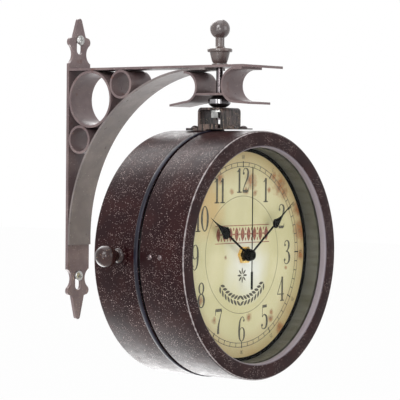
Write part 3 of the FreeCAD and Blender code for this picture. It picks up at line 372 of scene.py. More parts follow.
def battery_skin():
    """A cell's sleeve: dark, with one copper coloured end."""
    copper_start = 13.5 * MM
    paint = Paint("battery_skin", roughness=0.25, coat=0.6)
    end = paint.ramp(paint.axes()["Y"], copper_start, copper_start + 0.2 * MM)
    paint.colour(paint.mix(end, linear(30, 32, 38), linear(184, 118, 62)))
    paint.bump(paint.noise(2 * MM, detail=2), 0.01 * MM)
    return paint.material


def glass():
    """Clear flat glass with hardly any glare, which shadow rays and scattered light pass straight through."""
    paint = Paint("glass", roughness=0.02)
    paint.shader.inputs["IOR"].default_value = 1.08
    paint.shader.inputs["Transmission Weight"].default_value = 1.0
    paint.colour(linear(250, 252, 250))
    paint.bump(paint.noise(60 * MM, detail=1), 0.02 * MM, strength=0.2)
    clear = paint.tree.nodes.new("ShaderNodeBsdfTransparent")
    path = paint.tree.nodes.new("ShaderNodeLightPath")
    either = paint.maths("MAXIMUM", path.outputs["Is Shadow Ray"], path.outputs["Is Diffuse Ray"])
    paint.give_way(either, clear.outputs["BSDF"])
    return paint.material


# Rust marks on the dial: how far right of and above its middle, and how large, in millimetres.
DIAL_STAINS = [
    (-34, 66, 5), (10, 64, 8), (3, 56, 4), (16, 54, 3), (-17, 55, 3), (36, 56, 2.5), (52, 60, 9),
    (57, 54, 6), (43, 68, 4), (79, 38, 7), (83, 20, 10), (84, -3, 5), (54, -67, 6), (40, -58, 4),
    (41, -53, 3), (-25, -1.5, 1.8), (62, -14, 2), (8, -55, 4), (-40, -55, 3), (-64, 45, 7), (-60, -38, 5),
]


def dial_plate(side):
    """Aged cream plate: paler in the middle, where a pool of light is painted, browner at the edge, with rust
    marks. Its back is bare sheet.
    """
    paint = Paint(f"{side}_dial_plate", roughness=0.42, coat=0.2)
    across, up, depth = on_drum(paint)
    right = paint.maths("MULTIPLY", across, SIDES[side])

    def away(x, y):
        """The distance from a place on the dial, given in millimetres."""
        return paint.distance(paint.maths("SUBTRACT", right, x * MM), paint.maths("SUBTRACT", up, y * MM))

    mottle = paint.noise(34 * MM, detail=4)
    clouds = paint.ramp(mottle, 0.35, 0.65)
    fine = paint.noise(3 * MM, detail=3)
    base = paint.mix(clouds, linear(200, 192, 146), linear(214, 206, 165))
    wobble = paint.maths("MULTIPLY", mottle, 40 * MM)
    edge = paint.ramp(paint.maths("ADD", away(0, 0), wobble), 88 * MM, 116 * MM, 0.0, 0.8)
    base = paint.mix(edge, base, linear(176, 140, 84))
    # Painted light: a pale pool a little below the dial's middle.
    painted_light_pool = paint.ramp(paint.maths("ADD", away(4, -8), wobble), 26 * MM, 54 * MM, 0.9, 0.0)
    base = paint.mix(painted_light_pool, base, linear(240, 240, 234))
    smear = paint.ramp(paint.maths("ADD", away(-56, 44), wobble), 30 * MM, 52 * MM, 0.55, 0.0)
    base = paint.mix(smear, base, linear(206, 158, 92))
    ragged = paint.maths("MULTIPLY", paint.noise(4 * MM, detail=5, roughness=0.7), 2.2)
    stains = 0.0
    for x, y, size in DIAL_STAINS:
        reach = paint.maths("ADD", paint.maths("DIVIDE", away(x, y), size * MM), ragged)
        stains = paint.maths("MAXIMUM", stains, paint.ramp(reach, 1.3, 2.3, 1.0, 0.0))
    darker = paint.ramp(paint.noise(2 * MM, detail=4), 0.4, 0.6)
    rust = paint.mix(darker, linear(166, 98, 44), linear(112, 60, 34))
    aged = paint.mix(paint.maths("MULTIPLY", stains, 0.85), base, rust)
    printed = paint.ramp(depth, DIAL_FACE - 0.6 * MM, DIAL_FACE - 0.5 * MM)
    sheet = paint.mix(clouds, linear(150, 151, 150), linear(172, 173, 172))
    paint.colour(paint.mix(printed, sheet, aged))
    paint.roughness(paint.ramp(fine, 0.3, 0.7, 0.36, 0.5))
    paint.bump(fine, 0.01 * MM)
    return paint.material


def print_ink(name, wear_and_highlight, solid):
    """Printed ink, rubbed thin in places."""
    paint = Paint(name, roughness=0.5)
    paint.colour(paint.mix(paint.ramp(paint.noise(2.2 * MM, detail=4), 0.34, 0.6), wear_and_highlight, solid))
    paint.bump(paint.noise(0.6 * MM, detail=2), 0.01 * MM)
    return paint.material


# -------- meshes

# A section's point that is nearer than this to the axis lies on it.
ON_AXIS = 1e-7


def finish_piece(piece, material, body, sharp=35):
    """Smooth shading with crisp corners, its material, and the body that it rides on."""
    mesh = piece.data
    mesh.materials.append(material)
    mesh.shade_smooth()
    mesh.set_sharp_from_angle(angle=math.radians(sharp))
    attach(piece, body)


def new_object(name, data):
    thing = bpy.data.objects.new(name, data)
    bpy.context.scene.collection.objects.link(thing)
    return thing


def new_piece(name, vertices, faces, place=None):
    mesh = bpy.data.meshes.new(name)
    mesh.from_pydata([tuple(v) for v in vertices], [], faces)
    if place is not None:
        mesh.transform(place)
    mesh.validate()
    mesh.update()
    return new_object(name, mesh)


def rounded(corners, steps=6):
    """A closed section whose corners, each (x, y, radius), are rounded off."""
    points = []
    count = len(corners)
    for index, (x, y, radius) in enumerate(corners):
        here = Vector((x, y))
        before = Vector(corners[index - 1][:2]) - here
        after = Vector(corners[(index + 1) % count][:2]) - here
        a, b = before.normalized(), after.normalized()
        half = a.angle(b) / 2
        # An arc takes at most this share of each straight line beside it.
        most = 0.49
        reach = min(radius / math.tan(half), before.length * most, after.length * most)
        radius = reach * math.tan(half)
        centre = here + (a + b).normalized() * (radius / math.sin(half))
        start, end = here + a * reach - centre, here + b * reach - centre
        turn = start.angle_signed(end)
        for step in range(steps + 1):
            point = centre + Matrix.Rotation(-turn * step / steps, 2) @ start
            points.append((point.x, point.y))
    return points


def lathe(name, section, place=None, segments=96, closed=True):
    """Turns a section of (radius, height) points about local Z. A point on the axis becomes one vertex."""
    vertices, faces, rings = [], [], []
    for radius, height in section:
        start = len(vertices)
        if radius < ON_AXIS:
            rings.append([start] * segments)
            vertices.append((0, 0, height))
            continue
        rings.append([start + k for k in range(segments)])
        for k in range(segments):
            angle = FULL_TURN * k / segments
            vertices.append((radius * math.cos(angle), radius * math.sin(angle), height))
    for low, high in zip(rings, rings[1:] + rings[:1] if closed else rings[1:]):
        for k in range(segments):
            following = (k + 1) % segments
            face = list(dict.fromkeys([low[k], low[following], high[following], high[k]]))
            if len(face) > 2:
                faces.append(face)
    return new_piece(name, vertices, faces, place)


def face_out(piece):
    """Turns every face of a closed piece outward."""
    edit = bmesh.new()
    edit.from_mesh(piece.data)
    bmesh.ops.recalc_face_normals(edit, faces=edit.faces)
    edit.to_mesh(piece.data)
    edit.free()
    return piece


# -------- drum

def shell_section(seam):
    """Section of a half drum that starts at its seam, as (radius, distance from the middle plane)."""
    return rounded([
        (DRUM_RADIUS, seam, 0.25 * MM),
        (DRUM_RADIUS, HALF_DEPTH, 2.2 * MM),
        (MOUTH_RADIUS, HALF_DEPTH, 2.8 * MM),
        (MOUTH_RADIUS, LENS_FACE, 0.2 * MM),
        (MOUTH_RADIUS + SHELL_WALL, LENS_FACE, 0.2 * MM),
        (MOUTH_RADIUS + SHELL_WALL, HALF_DEPTH - SHELL_WALL, 1.6 * MM),
        (DRUM_RADIUS - SHELL_WALL, HALF_DEPTH - SHELL_WALL, 1.0 * MM),
        (DRUM_RADIUS - SHELL_WALL, seam, 0.25 * MM),
    ])


def drum_shell(side, paint):
    seam = SEAM if side == "front" else 0.0
    shell = lathe(f"{side}_case", shell_section(seam), dial_frame(side), segments=192)
    finish_piece(face_out(shell), paint, SIDE_BODY[side])
    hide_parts(f"{side}_shell")


def seam_bead(paint):
    """The half round bead that is rolled into the edge of the rear half."""
    steps = 12
    section = [(DRUM_RADIUS - 0.2 * MM, BEAD_WIDTH), (DRUM_RADIUS - 0.2 * MM, 0)]
    for step in range(steps + 1):
        angle = math.pi * step / steps
        section.append((DRUM_RADIUS + BEAD_RISE * math.sin(angle), BEAD_WIDTH * (1 - math.cos(angle)) / 2))
    bead = lathe("seam_bead", section, dial_frame("rear"), segments=192)
    finish_piece(face_out(bead), paint, SIDE_BODY["rear"], sharp=60)
    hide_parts("rear_shell")


# -------- dial print

# Flat ink is laid out in millimetres from the print's middle, as seen by someone who looks at the dial.
INK_LIFT = 0.04 * MM
# The print sits a little to the left of the dial's middle.
PRINT_SHIFT = -1.4
HOUR_RADIUS = 65.0
HOUR_HEIGHT = 21.6
MINUTE_RADIUS = 85.2
MINUTE_HEIGHT = 3.6
INNER_CIRCLE = 51.2
INNER_PEN = 0.4
TRACK_INNER = 77.0
TRACK_OUTER = 80.6
TRACK_PEN = 0.55
MINUTE_PEN = 0.8
FIVE_PEN = 1.1
FIVE_OVERHANG = 1.0
EDGE_LINE = 89.8

# The black band on the dial's edge, painted shadow in the gap between the dial and the ring: how far inside
# the ring's outer edge it starts, the gap that it leaves there, and how high it stands.
SHADOW_RING_INSET = 2.4 * MM
SHADOW_RING_GAP = 0.02 * MM
SHADOW_RING_LIFT = 0.3 * MM

# How many straight sides a circle of the dial, a small ball and an oval have.
ROUND_SIDES = 240
BALL_SIDES = 20
OVAL_SIDES = 48

# Each digit is drawn in a box one unit high. A stroke is a list of (x, y, pen width), a ball is
# (x, y, radius), and a loop is an oval: its middle, its half width and height, and its widest pen.
# THIN is the pen of a serif and of an oval's top, and BOLD makes every stroke heavier.
THIN = 0.04
BOLD = 1.15
DIGITS = {
    "0": {"width": 0.50, "loops": [(0.25, 0.5, 0.185, 0.485, 0.115)]},
    "1": {"width": 0.36, "strokes": [
        [(0.19, 0.0, 0.105), (0.19, 0.98, 0.105)],
        [(0.04, 0.016, THIN), (0.34, 0.016, THIN)],
        [(0.19, 0.985, 0.03), (0.12, 0.88, 0.05), (0.03, 0.825, 0.025)]]},
    "2": {"width": 0.50, "balls": [(0.105, 0.775, 0.058)], "strokes": [
        [(0.065, 0.80, 0.03), (0.12, 0.935, 0.04), (0.24, 0.983, 0.035), (0.375, 0.90, 0.09),
         (0.395, 0.74, 0.11), (0.33, 0.55, 0.085), (0.18, 0.31, 0.05), (0.08, 0.13, 0.035),
         (0.055, 0.04, 0.03)],
        [(0.05, 0.055, 0.10), (0.37, 0.05, 0.10)],
        [(0.385, 0.03, 0.06), (0.43, 0.20, 0.022)]]},
    "3": {"width": 0.50, "balls": [(0.105, 0.80, 0.055), (0.09, 0.185, 0.06)], "strokes": [
        [(0.07, 0.82, 0.03), (0.12, 0.94, 0.04), (0.235, 0.983, 0.035), (0.355, 0.90, 0.09),
         (0.36, 0.72, 0.095), (0.27, 0.575, 0.05), (0.17, 0.54, 0.03)],
        [(0.17, 0.54, 0.03), (0.32, 0.50, 0.06), (0.405, 0.34, 0.115), (0.385, 0.13, 0.09),
         (0.25, 0.018, 0.035), (0.11, 0.05, 0.035), (0.05, 0.17, 0.03)]]},
    "4": {"width": 0.52, "strokes": [
        [(0.35, 0.0, 0.10), (0.35, 1.0, 0.10)],
        [(0.36, 0.99, 0.035), (0.03, 0.29, 0.035)],
        [(0.015, 0.28, 0.035), (0.49, 0.28, 0.035)],
        [(0.22, 0.016, THIN), (0.48, 0.016, THIN)]]},
    "5": {"width": 0.50, "balls": [(0.09, 0.17, 0.06)], "strokes": [
        [(0.11, 0.935, 0.10), (0.40, 0.95, 0.10)],
        [(0.12, 0.97, 0.03), (0.10, 0.50, 0.03)],
        [(0.10, 0.50, 0.03), (0.22, 0.60, 0.04), (0.37, 0.52, 0.09), (0.41, 0.31, 0.115),
         (0.36, 0.10, 0.09), (0.22, 0.018, 0.035), (0.10, 0.05, 0.035), (0.05, 0.16, 0.03)]]},
    "6": {"width": 0.50, "balls": [(0.385, 0.845, 0.052)], "strokes": [
        [(0.42, 0.86, 0.03), (0.35, 0.965, 0.035), (0.25, 0.983, 0.035), (0.13, 0.83, 0.075),
         (0.085, 0.50, 0.11), (0.10, 0.18, 0.09), (0.18, 0.035, 0.045), (0.26, 0.018, 0.03),
         (0.37, 0.10, 0.07), (0.41, 0.29, 0.10), (0.38, 0.47, 0.075), (0.28, 0.56, 0.03),
         (0.18, 0.53, 0.03), (0.11, 0.42, 0.03)]]},
    "7": {"width": 0.48, "strokes": [
        [(0.05, 0.945, 0.105), (0.44, 0.945, 0.105)],
        [(0.055, 0.97, 0.05), (0.04, 0.74, 0.022)],
        [(0.44, 0.93, 0.035), (0.33, 0.62, 0.05), (0.245, 0.36, 0.09), (0.22, 0.15, 0.115),
         (0.22, 0.0, 0.115)]]},
    "8": {"width": 0.50, "loops": [(0.25, 0.765, 0.135, 0.22, 0.085), (0.25, 0.28, 0.17, 0.265, 0.105)]},
}
# The 9 is a 6 that is turned half round.
DIGITS["9"] = {
    "width": DIGITS["6"]["width"],
    "balls": [(0.5 - x, 1 - y, radius) for x, y, radius in DIGITS["6"]["balls"]],
    "strokes": [[(0.5 - x, 1 - y, width) for x, y, width in stroke] for stroke in DIGITS["6"]["strokes"]],
}


def smooth_line(points, steps=8):
    """Points on a smooth line through the given ones (Catmull-Rom), pen width included."""
    points = [Vector(point) for point in points]
    if len(points) < 3:
        return points
    ends = [points[0] * 2 - points[1], *points, points[-1] * 2 - points[-2]]
    line = []
    for a, b, c, e in zip(ends, ends[1:], ends[2:], ends[3:]):
        for step in range(steps):
            t = step / steps
            line.append(0.5 * (2 * b + (c - a) * t + (2 * a - 5 * b + 4 * c - e) * t ** 2
                               + (3 * b - a - 3 * c + e) * t ** 3))
    line.append(points[-1])
    return line


def even_turns(count):
    """Angles in radians that divide a full turn."""
    return [FULL_TURN * k / count for k in range(count)]


def on_circle(radius, turn):
    """A place at an angle in radians, counted from the right."""
    return (radius * math.cos(turn), radius * math.sin(turn))


def on_dial(radius, degrees):
    """A place at an angle in degrees, counted clockwise from the top."""
    turn = math.radians(degrees)
    return (radius * math.sin(turn), radius * math.cos(turn))


def oval(x, y, half_width, half_height, pen):
    """A closed stroke that is thin at its top and foot, and widest at its sides."""
    line = []
    for turn in even_turns(OVAL_SIDES):
        width = BOLD * (THIN + (pen - THIN) * math.cos(turn) ** 2)
        line.append((x + half_width * math.cos(turn), y + half_height * math.sin(turn), width))
    return line


def as_given(x, y):
    return (x, y)


class Flat:
    """Flat ink in a dial's plane, collected as faces and made into one piece."""

    def __init__(self):
        self.vertices = []
        self.faces = []

    def face(self, corners):
        """Adds a face, turned so that it looks out of the dial."""
        start = len(self.vertices)
        doubled = sum(a[0] * b[1] - b[0] * a[1] for a, b in zip(corners, corners[1:] + corners[:1]))
        self.vertices += corners if doubled > 0 else corners[::-1]
        self.faces.append(list(range(start, start + len(corners))))

    def ribbon(self, line, place=as_given, closed=False):
        """A stroke along (x, y, width) points, put in place by a function of (x, y)."""
        count = len(line)
        sides = []
        for k, (x, y, width) in enumerate(line):
            before = line[k - 1] if k or closed else line[k]
            after = line[(k + 1) % count] if k < count - 1 or closed else line[k]
            along = Vector((after[0] - before[0], after[1] - before[1])).normalized()
            off = Vector((-along.y, along.x)) * width / 2
            sides.append((place(x + off.x, y + off.y), place(x - off.x, y - off.y)))
        following = sides[1:] + sides[:1] if closed else sides[1:]
        for (a, b), (c, e) in zip(sides, following):
            self.face([a, b, e, c])

    def disc(self, x, y, radius, place):
        corners = [on_circle(radius, turn) for turn in even_turns(BALL_SIDES)]
        self.face([place(x + across, y + rise) for across, rise in corners])

    def ring(self, radius, pen):
        self.ribbon([(*on_circle(radius, turn), pen) for turn in even_turns(ROUND_SIDES)], closed=True)

    def bar(self, degrees, start, end, pen):
        """A straight bar along a radius."""
        self.ribbon([(*on_dial(start, degrees), pen), (*on_dial(end, degrees), pen)])

    def number(self, value, radius, degrees, height, tilt=0.0):
        """A number centred on a place round the dial; tilt turns it clockwise, in degrees."""
        x, y = on_dial(radius, degrees)
        glyphs = [DIGITS[digit] for digit in str(value)]
        left = -sum(glyph["width"] for glyph in glyphs) / 2
        turn = math.radians(-tilt)
        for glyph in glyphs:

            def place(u, v, left=left):
                a, b = (u + left) * height, (v - 0.5) * height
                return (x + a * math.cos(turn) - b * math.sin(turn),
                        y + a * math.sin(turn) + b * math.cos(turn))

            for stroke in glyph.get("strokes", []):
                self.ribbon([(u, v, pen * BOLD) for u, v, pen in smooth_line(stroke)], place)
            for ball in glyph.get("balls", []):
                self.disc(*ball, place)
            for loop in glyph.get("loops", []):
                self.ribbon(oval(*loop), place, closed=True)
            left += glyph["width"]

    def piece(self, name, side, lift, material):
        """The ink as one flat piece that lies on the dial of one side."""
        height = DIAL_FACE + lift
        vertices = [((x + PRINT_SHIFT) * MM, y * MM, height) for x, y in self.vertices]
        ink = new_piece(f"{side}_{name}", vertices, self.faces, dial_frame(side))
        finish_piece(ink, material, SIDE_BODY[side])


def dial_print(side, grey_ink, black_ink):
    """Hour numbers, the minute track with its small numbers, and the circles."""
    ink = Flat()
    for hour in range(1, 13):
        ink.number(hour, HOUR_RADIUS, hour * 30, HOUR_HEIGHT)
    ink.ring(INNER_CIRCLE, INNER_PEN)
    ink.ring(TRACK_INNER, TRACK_PEN)
    ink.ring(TRACK_OUTER, TRACK_PEN)
    for minute in range(60):
        if minute % 5:
            ink.bar(minute * 6, TRACK_INNER, TRACK_OUTER, MINUTE_PEN)
    ink.piece("dial_numerals", side, INK_LIFT, grey_ink)
    fives = Flat()
    for minute in range(0, 60, 5):
        degrees = minute * 6
        fives.bar(degrees, TRACK_INNER - FIVE_OVERHANG, TRACK_OUTER + FIVE_OVERHANG, FIVE_PEN)
        fives.number(minute or 60, MINUTE_RADIUS, degrees, MINUTE_HEIGHT, tilt=degrees)
    fives.piece("dial_minutes", side, INK_LIFT * 2, black_ink)


def ring_lip(side, paint):
    """A black band over the edge of the dial, painted shadow in the gap between the dial and the ring."""
    outer = (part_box(f"{side}_glass_ring")[1].y - SHADOW_RING_INSET - SHADOW_RING_GAP) / MM
    section = ((outer, 0, SHADOW_RING_LIFT), (EDGE_LINE, PRINT_SHIFT, SHADOW_RING_LIFT),
               (EDGE_LINE, PRINT_SHIFT, INK_LIFT), (outer, 0, INK_LIFT))
    vertices, faces = [], []
    for turn in even_turns(ROUND_SIDES):
        for radius, shift, lift in section:
            x, y = on_circle(radius, turn)
            vertices.append(((x + shift) * MM, y * MM, DIAL_FACE + lift))
    corners = len(section)
    for here in range(0, len(vertices), corners):
        after = (here + corners) % len(vertices)
        for corner in range(corners):
            following = (corner + 1) % corners
            faces.append([here + corner, here + following, after + following, after + corner])
    shadow_ring = face_out(new_piece(f"{side}_ring_lip", vertices, faces, dial_frame(side)))
    finish_piece(shadow_ring, paint, SIDE_BODY[side])


def leaf(ink, x, y, length, width, degrees):
    """A pointed leaf with its middle at a place and its length at an angle from the right."""
    steps = 10
    turn = math.radians(degrees)
    line = []
    for k in range(steps + 1):
        t = k / steps
        along = (t - 0.5) * length
        pen = width * math.sin(math.pi * t) ** 0.8
        line.append((x + along * math.cos(turn), y + along * math.sin(turn), pen))
    ink.ribbon(line)


def frieze(ink):
    """A row of lozenges between two lines, with three small ones in each gap."""
    middle_line, half_length, line_gap, pen, count = 18.0, 38.0, 7.6, 0.7, 9
    step = 2 * half_length / count
    for y in (middle_line - line_gap, middle_line + line_gap):
        ink.ribbon([(-half_length, y, pen), (half_length, y, pen)])
    for k in range(count):
        x = (k - (count - 1) / 2) * step
        leaf(ink, x, middle_line, length=12.6, width=5.4, degrees=90)
        if k < count - 1:
            for rise in (-4.4, 0, 4.4):
                tilt = 90 if rise else 0
                leaf(ink, x + step / 2, middle_line + rise, length=3.4, width=1.5, degrees=tilt)


def leafy_arc(ink):
    """Pairs of leaves along an arc, which point up both ways from its lowest place."""
    radius, each_way, apart, lean = 40.0, 7, 6.6, 38
    for k in range(-each_way, each_way + 1):
        degrees = k * apart
        x, y = on_dial(radius, degrees)
        for share, tip in ((1.06, lean), (0.94, -lean)):
            tilt = degrees + (tip if k >= 0 else 180 - tip)
            leaf(ink, x * share, -y * share, length=6.6, width=2.5, degrees=tilt)


def rosette(ink):
    """Eight small leaves about a place below the middle."""
    count, rise, reach = 8, -18, 4.0
    for k in range(count):
        degrees = k * 360 / count
        x, y = on_circle(reach, math.radians(degrees))
        leaf(ink, x, rise + y, length=5.6, width=1.7, degrees=degrees)


def dial_ornament(side, red_ink, grey_ink):
    """A plain frieze above the middle, and a leafy arc with a small rosette below it."""
    red = Flat()
    frieze(red)
    red.piece("dial_frieze", side, INK_LIFT, red_ink)
    grey = Flat()
    leafy_arc(grey)
    rosette(grey)
    grey.piece("dial_leaves", side, INK_LIFT, grey_ink)


# -------- turned pieces

def in_metres(points, base=0.0):
    """Section points given in millimetres, at a height over a base in metres."""
    return [(radius * MM, base + height * MM) for radius, height in points]


def ball_points(radius, centre, neck, steps=24):
    """A ball's outline, from where it leaves its neck to its top."""
    start = math.asin(neck / radius) - math.pi / 2
    angles = [start + (math.pi / 2 - start) * k / steps for k in range(steps + 1)]
    return [(max(radius * math.cos(a), 0.0), centre + radius * math.sin(a)) for a in angles]


def finial(paint):
    """A ball on a neck, which rises from a flared cup with a round foot."""
    low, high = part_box("finial")
    height = high.z - low.z
    rim = (high.x - low.x) / 2
    ball, neck = 8.75 * MM, 3.95 * MM
    # The cup's flare, in millimetres: its lower radius and height, and how far it widens and rises.
    cup_radius, cup_low, cup_flare, cup_rise, steps = 6.0, 1.9, 2.9, 9.7, 8
    section = in_metres([(3.2, 0), (6.8, 0), (7.0, 0.4), (7.0, 1.3), (6.6, 1.7), (cup_radius, cup_low)])
    for k in range(1, steps + 1):
        t = k / steps
        section += in_metres([(cup_radius + cup_flare * t ** 0.7, cup_low + cup_rise * t)])
    section += [(rim - 0.5 * MM, 11.7 * MM), (rim, 12.3 * MM), (rim, 14.0 * MM), (rim - 0.7 * MM, 14.8 * MM)]
    section += in_metres([(6.4, 15.0), (4.6, 15.7)])
    section.append((neck, 17.2 * MM))
    section += ball_points(ball, height - ball, neck)
    piece = lathe("finial_turned", section, upright(middle("finial").x, low.z), closed=False)
    finish_piece(face_out(piece), paint, "bracket", sharp=50)
    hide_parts("finial")


def collar(paint):
    """Two rounded halves with a groove between them, where the bright band sits."""
    low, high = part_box("swivel_collar")
    height = high.z - low.z
    wide = (high.x - low.x) / 2
    bore, end, band, groove, steps = 3.1 * MM, 6.0 * MM, 3.6 * MM, 1.2 * MM, 8
    band_low = (height - band) / 2
    half = [(bore, 0), (end - 0.4 * MM, 0)]
    for k in range(steps + 1):
        t = k / steps
        half.append((end + (wide - end) * math.sin(t * math.pi / 2), band_low * (0.04 + 0.96 * t)))
    half.append((wide - groove, band_low))
    section = half + [(radius, height - rise) for radius, rise in reversed(half)]
    piece = lathe("collar_turned", section, upright(middle("swivel_collar").x, low.z))
    finish_piece(face_out(piece), paint, "bracket", sharp=50)
    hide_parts("swivel_collar")


def knob(paint):
    """The latch's ball knob, its neck and foot, and the shaft that runs into the drum."""
    low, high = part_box("latch_knob")
    reach = -DRUM_RADIUS - low.y
    shaft_end = -(high.y + DRUM_RADIUS)
    ball = (high.x - low.x) / 2
    shaft, neck, foot = 2.5 * MM, 4.0 * MM, 1.7 * MM
    section = [(0, shaft_end), (shaft, shaft_end), (shaft, foot)]
    section += in_metres([(6.1, 0), (6.5, 0.3), (6.3, 0.9), (5.2, 1.6), (4.3, 2.6)], foot)
    section.append((neck, foot + 3.8 * MM))
    section += ball_points(ball, reach - ball, neck)
    centre = (low + high) / 2
    place = pointing(Vector((centre.x, -DRUM_RADIUS, centre.z)), Vector((0, -1, 0)))
    piece = lathe("knob_turned", section, place, closed=False)
    finish_piece(face_out(piece), paint, "latch", sharp=50)
    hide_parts("latch_knob")


def domed_heads(name, node, body, paint, places, out, shape):
    """One piece that stands for a node of identical domed fasteners.

    Shape is the head's diameter and rise, the shank's diameter, and how deep the shank goes.
    """
    head, rise, shank, grip = shape
    # The dome is the cap of a ball, pressed a little flatter so that a low skirt stands under it.
    ball = (head ** 2 / 4 + rise ** 2) / (2 * rise)
    skirt, steps = 0.1, 8
    section = [(0, -grip), (shank / 2, -grip), (shank / 2, 0), (head / 2, 0), (head / 2, 0.15 * rise)]
    for k in range(1, steps + 1):
        radius = head / 2 * (1 - k / steps)
        cap = rise - ball + math.sqrt(ball ** 2 - radius ** 2)
        section.append((radius, skirt * rise + (1 - skirt) * cap))
    vertices, faces = [], []
    for place in places:
        dome = lathe("dome", section, pointing(place, out, up=Vector((1, 0, 0))), segments=32, closed=False)
        start = len(vertices)
        vertices += [v.co.copy() for v in dome.data.vertices]
        faces += [[start + index for index in face.vertices] for face in dome.data.polygons]
        bpy.data.objects.remove(dome)
    piece = face_out(new_piece(name, vertices, faces))
    finish_piece(piece, paint, body, sharp=50)
    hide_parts(node)


def saddle_screws(paint):
    head = 7 * MM
    low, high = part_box("yoke_screws")
    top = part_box("saddle_plate")[1].z
    places = [Vector((x, y, top)) for x in (low.x + head / 2, high.x - head / 2)
              for y in (low.y + head / 2, high.y - head / 2)]
    domed_heads("saddle_domes", "yoke_screws", "clock", paint, places,
                Vector((0, 0, 1)), (head, 2.4 * MM, 3 * MM, 1.0 * MM))


RIVET_RISE = 1.3 * MM
RIVET_SHANK = 2.4 * MM


def keeper_rivets(paint):
    low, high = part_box("keeper_rivets")
    z = (low.z + high.z) / 2
    radius = (high.z - low.z) / 2
    places = [Vector((x, -DRUM_RADIUS, z)) for x in (low.x + radius, high.x - radius)]
    domed_heads("keeper_rivet_domes", "keeper_rivets", "door", paint, places,
                Vector((0, -1, 0)), (2 * radius, RIVET_RISE, RIVET_SHANK, high.y + DRUM_RADIUS))


def hinge_rivets(side, paint):
    low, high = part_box(f"hinge_rivets_{side}")
    x = (low.x + high.x) / 2
    radius = (high.x - low.x) / 2
    face = high.y - RIVET_RISE
    places = [Vector((x, face, z)) for z in (low.z + radius, high.z - radius)]
    domed_heads(f"hinge_domes_{side}", f"hinge_rivets_{side}", SIDE_BODY[side], paint,
                places, Vector((0, 1, 0)), (2 * radius, RIVET_RISE, RIVET_SHANK, face - low.y))


def wall_screws(paint):
    """The two pan head screws with a cross recess, each a little above the middle of its slot."""
    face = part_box("wall_plate")[1].x
    above = 4.4 * MM
    head, rise, skirt, roundness, steps = 4.8 * MM, 3.0 * MM, 0.9 * MM, 2.4, 28
    section = [(0, 0), (head, 0), (head, skirt)]
    for k in range(1, steps + 1):
        radius = head * (1 - k / steps)
        section.append((radius, skirt + (rise - skirt) * math.sqrt(1 - (radius / head) ** roundness)))
    for name, end in (("wall_screw_top", 1), ("wall_screw_bottom", -1)):
        screw = lathe(name, section, closed=False)
        for vertex in screw.data.vertices:
            if vertex.co.z > skirt:
                vertex.co.z -= cross_recess(vertex.co.x, vertex.co.y)
        place = Vector((face, 0, end * SLOT_SPACING / 2 + above))
        screw.data.transform(pointing(place, Vector((1, 0, 0))))
        finish_piece(face_out(screw), paint, "bracket", sharp=60)


def cross_recess(x, y):
    """How deep the cross is at a place on the screw's head: its arms have sloping sides."""
    half_arm, half_width, slope, deepest = 2.7 * MM, 0.6 * MM, 0.35 * MM, 1.3 * MM
    across, along = sorted((abs(x), abs(y)))
    inside = min(half_width - across, half_arm - along)
    return deepest * min(max(inside / slope, 0.0), 1.0)


# -------- dressing the CAD's own nodes

# Nodes of bent and cut sheet, and the nut, whose edges are rounded.
SOFT_EDGED = ("wall_plate", "top_arm", "brace", "scroll_inner", "scroll_outer", "scroll_bridge",
              "corner_ring_large", "corner_ring_upper", "corner_ring_lower", "yoke", "saddle_plate",
              "yoke_spacer", "hinge_leaf_front", "hinge_leaf_rear", "rod_nut")
EDGE_WIDTH = 0.35 * MM


def dress(materials):
    """Gives each CAD node its material, and rounds the edges of those that have sharp ones."""
    slots = {part["node"]: part["material_slot"] for part in frame["record"]["subparts"]}
    for name, thing in nodes.items():
        slot = slots[name]
        material = materials[f"{name}_plate"] if slot == "dial_print" else materials[slot]
        if not thing.material_slots:
            thing.data.materials.append(material)
        for place in thing.material_slots:
            place.material = material
    for name in SOFT_EDGED:
        edge = nodes[name].modifiers.new("edges", "BEVEL")
        edge.width = EDGE_WIDTH
        edge.segments = 2
        edge.limit_method = "ANGLE"
        edge.angle_limit = math.radians(40)
        edge.harden_normals = True


def all_materials():
    """Every material of the CAD's nodes, each under its slot's name, and a plate for each dial."""
    makers = [case_paint, bracket_paint, brace_paint, finial_bronze, knob_bronze, yoke_paint, black_enamel,
              hand_black, ring_paint, movement_plastic, battery_skin, glass]
    materials = {maker.__name__: maker() for maker in makers}
    for name, finish in METALS.items():
        materials[name] = metal(name, *finish)
    for side in SIDES:
        materials[f"{side}_dial_plate"] = dial_plate(side)
    return materials


# -------- stage, light and camera

# Where the photograph was taken from, seen from the drum's middle, and its lens.
CAMERA_PLACE = Vector((1.0562, -1.3195, 0.0911))
CAMERA_AZIMUTH = math.radians(39.227)
CAMERA_ELEVATION = math.radians(1.499)
CAMERA_ROLL = math.radians(0.52)
LENS = 172.75
SENSOR = 36.0

# Strength of the studio's soft light, where its white background is 1.
SOFT_LEVEL = 0.6

# How white the floor is to the rays that see the background; the rest of it shows the shadow.
FLOOR_WHITE = 0.97

# Each lamp's direction from the drum, its distance, its width and height in metres, and its power.
LAMPS = {
    "key": ((0.3, -1.0, 0.75), 2.0, (0.9, 0.8), 14),
    "strip": ((0.12, -1.0, 0.0), 2.0, (0.22, 2.6), 10),
    "fill": ((1.7, 0.5, 0.4), 2.0, (1.0, 1.2), 8),
    "top": ((0.0, -0.1, 1.0), 1.6, (1.2, 1.2), 6),
    "rim_top": ((-0.62, 0.35, 0.72), 1.5, (1.3, 1.3), 20),
    "rim_foot": ((-0.62, 0.2, -0.72), 0.8, (0.9, 0.9), 10),
    "front": ((0.56, -0.82, 0.12), 1.6, (0.2, 0.6), 4),
}


